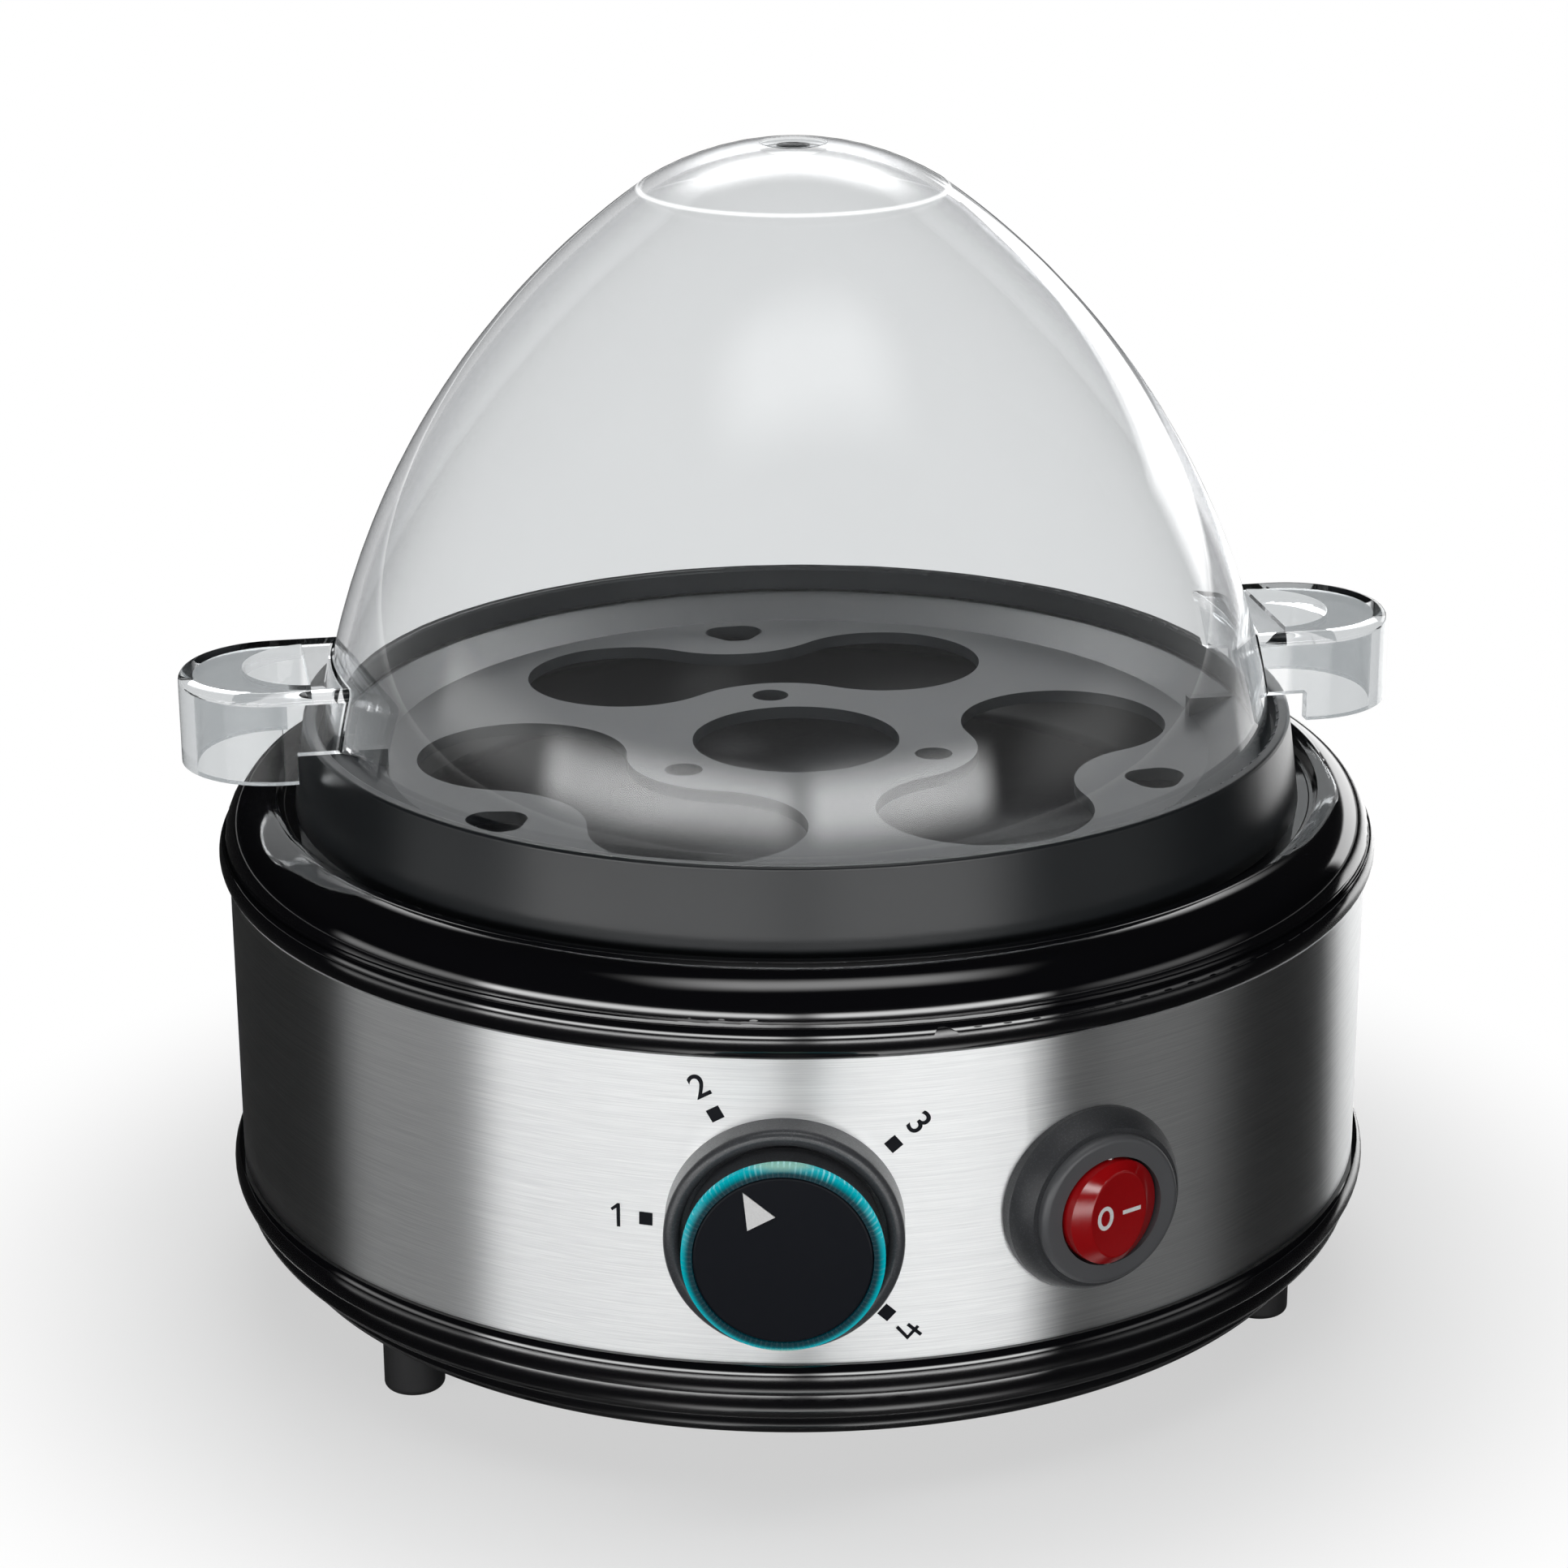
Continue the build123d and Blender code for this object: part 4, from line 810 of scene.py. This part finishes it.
class EvenShading:
    """Normals worked out afresh, with creases only where the faces meet at a clear angle."""

    def __init__(self, crease: float = 28.0) -> None:
        """Build the node group.

        Args:
            crease: The angle from which an edge counts as a crease, in degrees.
        """
        self.group = bpy.data.node_groups.new("even_shading", "GeometryNodeTree")
        for way in ("INPUT", "OUTPUT"):
            self.group.interface.new_socket("Mesh", in_out=way, socket_type="NodeSocketGeometry")
        graph = Graph(self.group)
        bend = Value(graph, graph.add("GeometryNodeInputMeshEdgeAngle").outputs["Unsigned Angle"])
        sharp = graph.math("GREATER_THAN", bend, math.radians(crease))
        given = graph.add("NodeGroupInput").outputs[0]
        shaded = graph.add(
            "GeometryNodeSetMeshNormal",
            {"mode": "SHARPNESS"},
            {"Mesh": given, "Remove Custom": True, "Edge Sharpness": sharp},
        )
        graph.add("NodeGroupOutput", None, {0: shaded.outputs[0]})

    def apply(self, piece: Piece) -> None:
        """Put the node group on a piece as a modifier."""
        piece.modifiers.new("even_shading", "NODES").node_group = self.group


class Palette:
    """The finishes by material slot, each made into a material once."""

    def __init__(self, finishes: dict[Slot, Finish]) -> None:
        """Keep the finishes."""
        self.finishes = finishes
        self.made: dict[Slot, bpy.types.Material] = {}

    def material(self, slot: Slot) -> bpy.types.Material:
        """The material of a slot, made when first asked for.

        Args:
            slot: The material slot.

        Returns:
            The material.
        """
        if slot not in self.made:
            self.made[slot] = self.finishes[slot].material(slot.value)
        return self.made[slot]

    def dress(self, piece: Piece, slot: Slot) -> None:
        """Give a piece one slot's material.

        Args:
            piece: A node of the frame or a piece made here.
            slot: The material slot.
        """
        material = self.material(slot)
        if not piece.material_slots:
            piece.data.materials.append(material)
        for place in piece.material_slots:
            place.material = material


def joint(name: str) -> dict[str, Any]:
    """The record's joint of that name."""
    return next(row for row in frame["joints"] if row["name"] == name)


def placed(name: str, data: bpy.types.ID) -> Piece:
    """Add an object to the scene.

    Args:
        name: The object's name.
        data: Its mesh, lamp or camera.

    Returns:
        The object.
    """
    piece = bpy.data.objects.new(name, data)
    bpy.context.scene.collection.objects.link(piece)
    return piece


@dataclass
class SubAssembly:
    """Nodes of the frame that are dressed together, with any pieces that are added to them."""

    palette: Palette
    shading: EvenShading
    nodes: tuple[str, ...] = ()

    def dress(self) -> list[Piece]:
        """Dress the nodes in the slots that the record gives them.

        Returns:
            The dressed nodes.
        """
        slots = {row["node"]: Slot(row["material_slot"]) for row in frame["record"]["subparts"]}
        dressed = [frame["nodes"][name] for name in self.nodes]
        for piece in dressed:
            self.palette.dress(piece, slots[piece.name])
            self.shading.apply(piece)
        return dressed

    def build(self) -> list[Piece]:
        """Dress the nodes and add the pieces that the frame lacks."""
        return self.dress()

    def add(self, name: str, mesh: bpy.types.Mesh, body: Body, slot: Slot) -> Piece:
        """Add one piece to the scene.

        Args:
            name: The piece's name.
            mesh: Its mesh, in the frame.
            body: What it rides on.
            slot: Its finish.

        Returns:
            The piece.
        """
        piece = placed(name, mesh)
        self.palette.dress(piece, slot)
        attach(piece, body.value)
        return piece


@dataclass
class Shell(SubAssembly):
    """The outside of the base."""

    nodes: tuple[str, ...] = (
        "steel_band", "base_pan", "upper_housing", "feet", "base_screws", "cord_gland", "gland_nut",
    )


@dataclass
class HeatingUnit(SubAssembly):
    """The water bowl and what heats and guards it."""

    nodes: tuple[str, ...] = (
        "bowl_seal", "heating_bowl", "heat_spreader", "heating_element", "element_pins", "bowl_stud",
        "clamp_bar", "clamp_nut", "thermostat", "thermostat_blades", "thermal_fuse", "fuse_strap",
    )


@dataclass
class Wiring(SubAssembly):
    """The terminal block and the leads inside the base."""

    nodes: tuple[str, ...] = ("terminal_block", "inner_leads")


def thin_solid(name: str, loops: list[list[Vector]], depth: Vector) -> bpy.types.Mesh:
    """A thin closed solid from one outline, or from an outer and an inner one.

    Args:
        name: The mesh's name.
        loops: One outline, or two with as many points each.
        depth: From the back face to the front face.

    Returns:
        The mesh.
    """
    work = bmesh.new()
    back = [[work.verts.new(point) for point in loop] for loop in loops]
    front = [[work.verts.new(point + depth) for point in loop] for loop in loops]
    count = len(loops[0])
    for index in range(count):
        after = (index + 1) % count
        for low, high in zip(back, front):
            work.faces.new((low[index], low[after], high[after], high[index]))
        if len(loops) > 1:
            for layer in (back, front):
                work.faces.new((layer[0][index], layer[0][after], layer[1][after], layer[1][index]))
    if len(loops) == 1:
        work.faces.new(back[0])
        work.faces.new(front[0])
    bmesh.ops.recalc_face_normals(work, faces=work.faces[:])
    mesh = bpy.data.meshes.new(name)
    work.to_mesh(mesh)
    work.free()
    return mesh


@dataclass
class Dial(SubAssembly):
    """The cooking-time dial, with the square marks and numbers round it on the band."""

    nodes: tuple[str, ...] = (
        "knob_bezel", "control_saddle", "control_unit", "control_blades", "control_nut", "ring_lamp",
        "control_shaft", "knob_body", "knob_light_ring", "knob_cap", "knob_pointer",
    )
    mark_radius: float = 20.2 * MM
    mark_side: float = 2.0 * MM
    number_radius: float = 24.8 * MM
    number_height: float = 3.7 * MM
    number_stroke: float = 0.05 * MM
    font_figure: float = 0.7
    ink_depth: float = 0.04 * MM
    clock_angles: tuple[float, ...] = (-88.7, -29.0, 50.9, 133.1)
    number_turns: tuple[float, ...] = (0.0, -29.0, 50.9, -46.9)
    band_radius: float = field(default_factory=lambda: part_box("steel_band")[1].x)
    centre: Vector = field(default_factory=lambda: Vector(joint("knob_turn")["pos_m"]))

    def on_band(self, right: float, up: float, out: float) -> Vector:
        """A place on the band.

        Args:
            right: How far round the band from the dial's centre, to the right as seen from outside.
            up: How far above the dial's centre.
            out: How far outside the band.

        Returns:
            The place in the frame.
        """
        angle = math.atan2(self.centre.x, -self.centre.y) + right / self.band_radius
        reach = self.band_radius + out
        return Vector((reach * math.sin(angle), -reach * math.cos(angle), self.centre.z + up))

    def printed(self, name: str, points: list[Vector]) -> Piece:
        """One shape printed on the band.

        Args:
            name: The piece's name.
            points: Its outline, to the right of and above the dial's centre.

        Returns:
            The shape.
        """
        lift = self.ink_depth / 4
        outline = [self.on_band(point.x, point.y, lift) for point in points]
        outward = self.on_band(0, 0, lift + self.ink_depth) - self.on_band(0, 0, lift)
        return self.add(name, thin_solid(name, [outline], outward), Body.BASE, Slot.KNOB_BLACK)

    def mark(self, name: str, clock: float) -> Piece:
        """One square mark.

        Args:
            name: The piece's name.
            clock: Its angle from the top, clockwise.

        Returns:
            The mark.
        """
        turn = Matrix.Rotation(-math.radians(clock), 2)
        corners = rectangle(self.mark_side / 2, self.mark_side / 2)
        return self.printed(name, [turn @ Vector((x, y + self.mark_radius)) for x, y in corners])

    def number(self, text: str, clock: float, turn: float) -> Piece:
        """One number, bent to the band.

        Args:
            text: What it says.
            clock: The angle of its mark from the top, clockwise.
            turn: How far the number itself is turned, clockwise.

        Returns:
            The number.
        """
        name = f"dial_number_{text}"
        spin = Matrix.Rotation(-math.radians(turn), 2)
        angle = math.radians(clock)
        place = Vector((math.sin(angle), math.cos(angle))) * self.number_radius
        if text in NUMBER_OUTLINES:
            points = [Vector(point) for point in NUMBER_OUTLINES[text]]
            middle = Vector((max(point.x for point in points), max(point.y for point in points))) / 2
            outline = [spin @ (point - middle) * self.number_height + place for point in points]
            return self.printed(name, outline)
        curve = bpy.data.curves.new(name, "FONT")
        curve.body = text
        curve.size = self.number_height / self.font_figure
        curve.align_x = "CENTER"
        curve.align_y = "CENTER"
        curve.extrude = self.ink_depth / 2
        curve.offset = self.number_stroke
        holder = bpy.data.objects.new(name, curve)
        mesh = bpy.data.meshes.new_from_object(holder)
        bpy.data.objects.remove(holder)
        bpy.data.curves.remove(curve)
        for vertex in mesh.vertices:
            flat = spin @ vertex.co.xy + place
            vertex.co = self.on_band(flat.x, flat.y, vertex.co.z + self.ink_depth)
        return self.add(name, mesh, Body.BASE, Slot.KNOB_BLACK)

    def build(self) -> list[Piece]:
        """Dress the dial, then print its marks and numbers.

        Returns:
            All pieces of the dial.
        """
        pieces = self.dress()
        for step, (clock, turn) in enumerate(zip(self.clock_angles, self.number_turns), start=1):
            pieces.append(self.mark(f"dial_mark_{step}", clock))
            pieces.append(self.number(str(step), clock, turn))
        return pieces


@dataclass
class RockerSwitch(SubAssembly):
    """The round rocker switch, with an O and a dash on its face."""

    nodes: tuple[str, ...] = (
        "switch_collar", "switch_body", "switch_blades", "switch_rocker", "rocker_pin",
    )
    face_height: float = 2.4 * MM
    face_dish: float = 0.2 * MM
    dish_radius: float = 110.0 * MM
    sign_place: float = 2.5 * MM
    ring_half_width: float = 1.5 * MM
    ring_half_height: float = 1.85 * MM
    stroke: float = 0.62 * MM
    dash_length: float = 3.3 * MM
    ink_depth: float = 0.05 * MM
    lean: float = 26.3
    ring_points: int = 48
    centre: Vector = field(default_factory=lambda: Vector(joint("rocker_tilt")["pos_m"]))

    def on_face(self, right: float, up: float, out: float) -> Vector:
        """A place on the rocker's dished face.

        Args:
            right: To the right of the rocker's pin.
            up: Above its middle.
            out: Proud of the face.

        Returns:
            The place in the frame.
        """
        angle = math.radians(self.lean)
        across = Vector((math.cos(angle), math.sin(angle), 0))
        outward = Vector((math.sin(angle), -math.cos(angle), 0))
        dish = self.face_dish - (right * right + up * up) / (2 * self.dish_radius)
        proud = outward * (self.face_height - dish + out)
        return self.centre + across * right + proud + Vector((0, 0, up))

    def sign(self, name: str, loops: list[list[Place]]) -> Piece:
        """One printed sign.

        Args:
            name: The piece's name.
            loops: Its outlines on the face.

        Returns:
            The sign.
        """
        lift = self.ink_depth / 4
        outlines = [[self.on_face(right, up, lift) for right, up in loop] for loop in loops]
        depth = self.on_face(0, 0, self.ink_depth) - self.on_face(0, 0, 0)
        return self.add(name, thin_solid(name, outlines, depth), Body.ROCKER, Slot.POINTER_WHITE)

    def build(self) -> list[Piece]:
        """Dress the switch, then print its signs.

        Returns:
            All pieces of the switch.
        """
        pieces = self.dress()
        turns = [math.tau * step / self.ring_points for step in range(self.ring_points)]
        rings = [
            [
                (
                    -self.sign_place + (self.ring_half_width - inset) * math.cos(turn),
                    (self.ring_half_height - inset) * math.sin(turn),
                )
                for turn in turns
            ]
            for inset in (0.0, self.stroke)
        ]
        pieces.append(self.sign("switch_sign_off", rings))
        corners = rectangle(self.dash_length / 2, self.stroke / 2)
        dash = [(self.sign_place + right, up) for right, up in corners]
        pieces.append(self.sign("switch_sign_on", [dash]))
        return pieces


@dataclass
class EggTray(SubAssembly):
    """The lift-out tray."""

    nodes: tuple[str, ...] = ("egg_tray",)


@dataclass
class Lid(SubAssembly):
    """The clear lid."""

    nodes: tuple[str, ...] = ("lid",)


@dataclass(frozen=True)
class Softbox:
    """A soft lamp that fills a window of the sky, as seen from the cooker."""

    name: str
    azimuths: Pair
    radiance: float
    elevations: Pair = (0.5, 15)
    distance: float = 1.3
    fade_across: float = 0.16
    fade_up: float = 0.45

    def glow(self, graph: Graph) -> None:
        """Let the light fade towards the lamp's edges.

        Args:
            graph: The lamp's node tree.
        """
        place = graph.add("ShaderNodeNewGeometry").outputs["Parametric"]
        across, up = graph.parts(place)[:2]
        across = across.rise(0, self.fade_across) * across.rise(1, 1 - self.fade_across)
        up = up.rise(0, self.fade_up) * up.rise(1, 1 - self.fade_up)
        light = graph.add("ShaderNodeEmission", None, {"Color": across * up, "Strength": 1.0})
        graph.add("ShaderNodeOutputLight", None, {"Surface": light.outputs[0]})

    def width(self, ends: Pair) -> float:
        """How wide the lamp has to be to fill the angle between two ends."""
        return 2 * self.distance * math.tan(math.radians(ends[1] - ends[0]) / 2)

    def hang(self, aim: Vector) -> Piece:
        """Hang the lamp.

        Args:
            aim: What it points at.

        Returns:
            The lamp.
        """
        azimuth = math.radians(sum(self.azimuths) / 2)
        elevation = math.radians(sum(self.elevations) / 2)
        level = math.cos(elevation)
        way = Vector((math.sin(azimuth) * level, -math.cos(azimuth) * level, math.sin(elevation)))
        lamp = bpy.data.lights.new(self.name, "AREA")
        lamp.shape = "RECTANGLE"
        lamp.size = level * self.width(self.azimuths)
        lamp.size_y = self.width(self.elevations)
        lamp.energy = self.radiance * math.pi * lamp.size * lamp.size_y
        lamp.use_nodes = True
        self.glow(Graph(lamp.node_tree))
        piece = placed(self.name, lamp)
        piece.location = aim + way * self.distance
        piece.rotation_mode = "QUATERNION"
        piece.rotation_quaternion = (-way).to_track_quat("-Z", "Y")
        return piece


@dataclass
class Studio:
    """Floor, lamps and surroundings."""

    floor_half: float = 6.0
    floor_colour: Colour = (0.94, 0.94, 0.94)
    aim: Vector = field(default_factory=lambda: Vector((0, 0, 0.06)))
    horizon: float = 0.004
    overhead: float = 0.012
    sky_ends: Pair = (0.05, 0.55)
    lamps: tuple[Softbox, ...] = (
        Softbox("left_fill_strip", (-108, -62), 1.7),
        Softbox("left_front_strip", (-74, -7), 8.0),
        Softbox("right_front_strip", (-11, 38), 8.4),
        Softbox("right_fill_strip", (36, 84), 0.9, fade_across=0.4),
        Softbox("rear_strip", (115, 158), 2.5, distance=1.2, fade_across=0.1, fade_up=0.12),
        Softbox("rear_softbox", (138, 200), 5.5, elevations=(30, 56), fade_across=0.3),
        Softbox("top_softbox", (-60, 60), 2.8, elevations=(55, 88), distance=1.2, fade_across=0.35),
    )

    def lay_floor(self) -> Piece:
        """Lay the floor.

        Returns:
            The floor.
        """
        mesh = bpy.data.meshes.new("floor")
        corners = [(x, y, 0) for x, y in rectangle(self.floor_half, self.floor_half)]
        mesh.from_pydata(corners, [], [(0, 1, 2, 3)])
        mesh.materials.append(StudioFloor(self.floor_colour).material("studio_floor"))
        floor = placed("floor", mesh)
        return floor

    def surround(self) -> None:
        """Make the surroundings: a dim room, which the camera and the clear lid see as plain white."""
        world = bpy.data.worlds.new("studio")
        world.use_nodes = True
        bpy.context.scene.world = world
        graph = Graph(world.node_tree)
        way = graph.add("ShaderNodeTexCoord").outputs["Generated"]
        height = graph.along(way, Vector((0, 0, 1)))
        greys = [rgba(shade(WHITE, level)) for level in (self.horizon, self.overhead)]
        low, high = [
            graph.add("ShaderNodeBackground", None, {"Color": grey, "Strength": 1.0}).outputs[0]
            for grey in greys
        ]
        sky = graph.blend(height.rise(*self.sky_ends), low, high)
        shown = graph.blend(graph.backdrop(), sky, graph.white())
        graph.add("ShaderNodeOutputWorld", None, {"Surface": shown})

    def build(self) -> list[Piece]:
        """Set up the surroundings, the floor and the lamps."""
        self.surround()
        return [self.lay_floor(), *[lamp.hang(self.aim) for lamp in self.lamps]]


@dataclass
class PhotoCamera:
    """The camera at the photograph's viewing angle."""

    place: Vector = field(default_factory=lambda: Vector((-0.1113, -0.6026, 0.2938)))
    look: Vector = field(default_factory=lambda: Vector((0.1686, 0.9296, -0.3277)))
    roll: float = 0.339
    lens: float = 91.93
    sensor: float = 36.0
    nearest: float = 0.02

    def build(self) -> Piece:
        """Set up the camera.

        Returns:
            The camera.
        """
        data = bpy.data.cameras.new("photo_camera")
        data.sensor_width = self.sensor
        data.lens = self.lens
        data.clip_start = self.nearest
        camera = placed("photo_camera", data)
        upright = self.look.to_track_quat("-Z", "Y")
        roll = Matrix.Rotation(-math.radians(self.roll), 3, "Z").to_quaternion()
        camera.rotation_mode = "QUATERNION"
        camera.location = self.place
        camera.rotation_quaternion = upright @ roll
        bpy.context.scene.camera = camera
        return camera


def ring_finish() -> LitRing:
    """The lit ring's finish, placed on the knob's axis.

    Returns:
        The finish.
    """
    low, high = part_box("knob_light_ring")
    inward = Vector(joint("knob_turn")["axis"])
    up = Vector((0, 0, 1))
    outer, lit_width = (high.z - low.z) / 2, 1.2 * MM
    return LitRing(
        colour=(0.0, 0.02, 0.028),
        edge=(0.0, 0.36, 0.42),
        # Colours of the painted glints and of the painted warm sheen
        spark=(0.55, 0.95, 1.0),
        warm=(0.55, 0.5, 0.2),
        centre=Vector(joint("knob_turn")["pos_m"]),
        across=up.cross(inward) * -1,
        up=up,
        inner=outer - lit_width,
        outer=outer,
    )


def housing_arcs() -> tuple[Arc, ...]:
    """The round parts of the upper housing's and the pan's outlines.

    Returns:
        The arcs, from the top down.
    """
    notch, crest = (92.0, 76.6), (86.2, 83.95)
    groove, skirt, edge = (91.4, 18.6), (87.2, 13.2), (84.2, 9.0)
    return (
        Arc(crest, (84.9, 84.3), (83.6, 83.95)),
        Arc(notch, bowed(notch, crest, 1.6), crest),
        Arc((92.0, 72.0), (93.0, 74.3), (92.5, 76.6)),
        Arc((92.3, 24.0), (93.1, 21.6), (92.3, 19.2)),
        Arc(skirt, bowed(skirt, groove, 1.5), groove),
        Arc(edge, bowed(edge, skirt, 1.0), skirt),
    )


def lid_arcs() -> tuple[Arc, ...]:
    """The lid's dome and its cap, each with both faces of its wall.

    Returns:
        The arcs. The cap comes last, so that it holds where the two overlap.
    """
    rim, step = (76.2, 92.0), (24.4, 178.6)
    cap = Arc((-23.8, 179.1), (0.0, 185.9), (23.8, 179.1), wall=2.0, fit=0.2, lowest=177.2)
    return Arc(rim, bowed(rim, step, 10.4), step, wall=2.0, fit=0.3), cap


def egg_cooker_palette() -> Palette:
    """The finish of every material slot.

    Returns:
        The palette.
    """
    charcoal, rubber, fine = (0.055, 0.057, 0.062), (0.012, 0.012, 0.013), 0.16 * MM
    return Palette({
        Slot.BAND_STEEL: BrushedSteel((0.62, 0.63, 0.635), tint=(0.79, 0.8, 0.8)),
        Slot.HOUSING_BLACK: MouldedPlastic(
            (0.003, 0.003, 0.004), 0.07, stray=0.1, grain=0.8 * MM, depth=0.0006 * MM, specular=0.9,
            arcs=housing_arcs(),
        ),
        Slot.FOOT_RUBBER: MouldedPlastic(rubber, 0.6, depth=0.02 * MM),
        Slot.PLAIN_STEEL: PlainMetal((0.55, 0.55, 0.56), 0.35, tint=(0.66, 0.65, 0.62)),
        Slot.SEAL_RUBBER: MouldedPlastic((0.3, 0.07, 0.045), 0.6, depth=0.02 * MM),
        Slot.BOWL_COAT: MouldedPlastic((0.01, 0.01, 0.011), 0.35, depth=0.006 * MM, fleck=0.25),
        Slot.SPREADER_ALUMINIUM: PlainMetal((0.6, 0.6, 0.61), 0.45, tint=(0.72, 0.72, 0.73)),
        Slot.ELEMENT_STEEL: PlainMetal((0.32, 0.27, 0.22), 0.4, tint=(0.25, 0.26, 0.3)),
        Slot.LIMITER_PLASTIC: MouldedPlastic((0.09, 0.08, 0.07), 0.5, depth=0.01 * MM),
        Slot.BLADE_BRASS: PlainMetal((0.75, 0.55, 0.22), 0.3, tint=(0.65, 0.45, 0.18)),
        Slot.BEZEL_GREY: MouldedPlastic(charcoal, 0.32, grain=fine, depth=0.01 * MM, fleck=0.3),
        Slot.INNER_PLASTIC: MouldedPlastic((0.6, 0.57, 0.5), 0.5, depth=0.01 * MM),
        Slot.LAMP_BOARD: MouldedPlastic((0.7, 0.74, 0.72), 0.4),
        Slot.KNOB_GREY: MouldedPlastic(charcoal, 0.4, grain=fine, depth=0.008 * MM, fleck=0.2),
        Slot.RING_TEAL: ring_finish(),
        Slot.KNOB_BLACK: MouldedPlastic((0.003, 0.004, 0.007), 0.45, grain=0.2 * MM, specular=0.15),
        Slot.POINTER_WHITE: Ink((0.95, 0.95, 0.95)),
        Slot.COLLAR_GREY: MouldedPlastic(
            (0.024, 0.025, 0.028), 0.48, grain=fine, depth=0.012 * MM, fleck=0.3
        ),
        Slot.SWITCH_GREY: MouldedPlastic((0.085, 0.087, 0.092), 0.4, grain=0.2 * MM, depth=0.006 * MM),
        Slot.ROCKER_RED: MouldedPlastic((0.36, 0.004, 0.006), 0.1, grain=0.9 * MM, depth=0.002 * MM),
        Slot.GLAND_BLACK: MouldedPlastic(rubber, 0.42, depth=0.01 * MM),
        Slot.LEAD_RUBBER: MouldedPlastic((0.38, 0.03, 0.025), 0.5, depth=0.01 * MM),
        Slot.TRAY_GREY: MouldedPlastic(
            (0.014, 0.016, 0.018), 0.3, stray=0.08, grain=0.6 * MM, depth=0.001 * MM
        ),
        Slot.LID_CLEAR: ClearPlastic(
            # The second and third colours are painted shade, on the loops and towards the outline
            (0.87, 0.88, 0.885), thick=(0.62, 0.64, 0.65), edge=(0.48, 0.49, 0.51), arcs=lid_arcs()
        ),
    })


def main() -> None:
    """Dress the cooker, and set up the studio and the camera."""
    logging.basicConfig(level=logging.INFO, format="%(name)s: %(message)s")
    bpy.context.scene.view_settings.view_transform = "Standard"
    palette = egg_cooker_palette()
    shading = EvenShading()
    kinds = (Shell, HeatingUnit, Wiring, Dial, RockerSwitch, EggTray, Lid)
    for kind in kinds:
        for piece in kind(palette, shading).build():
            log.info("%s: %s", kind.__name__, piece.name)
    for piece in (*Studio().build(), PhotoCamera().build()):
        log.info("Studio: %s", piece.name)


if __name__ == "__main__":
    main()
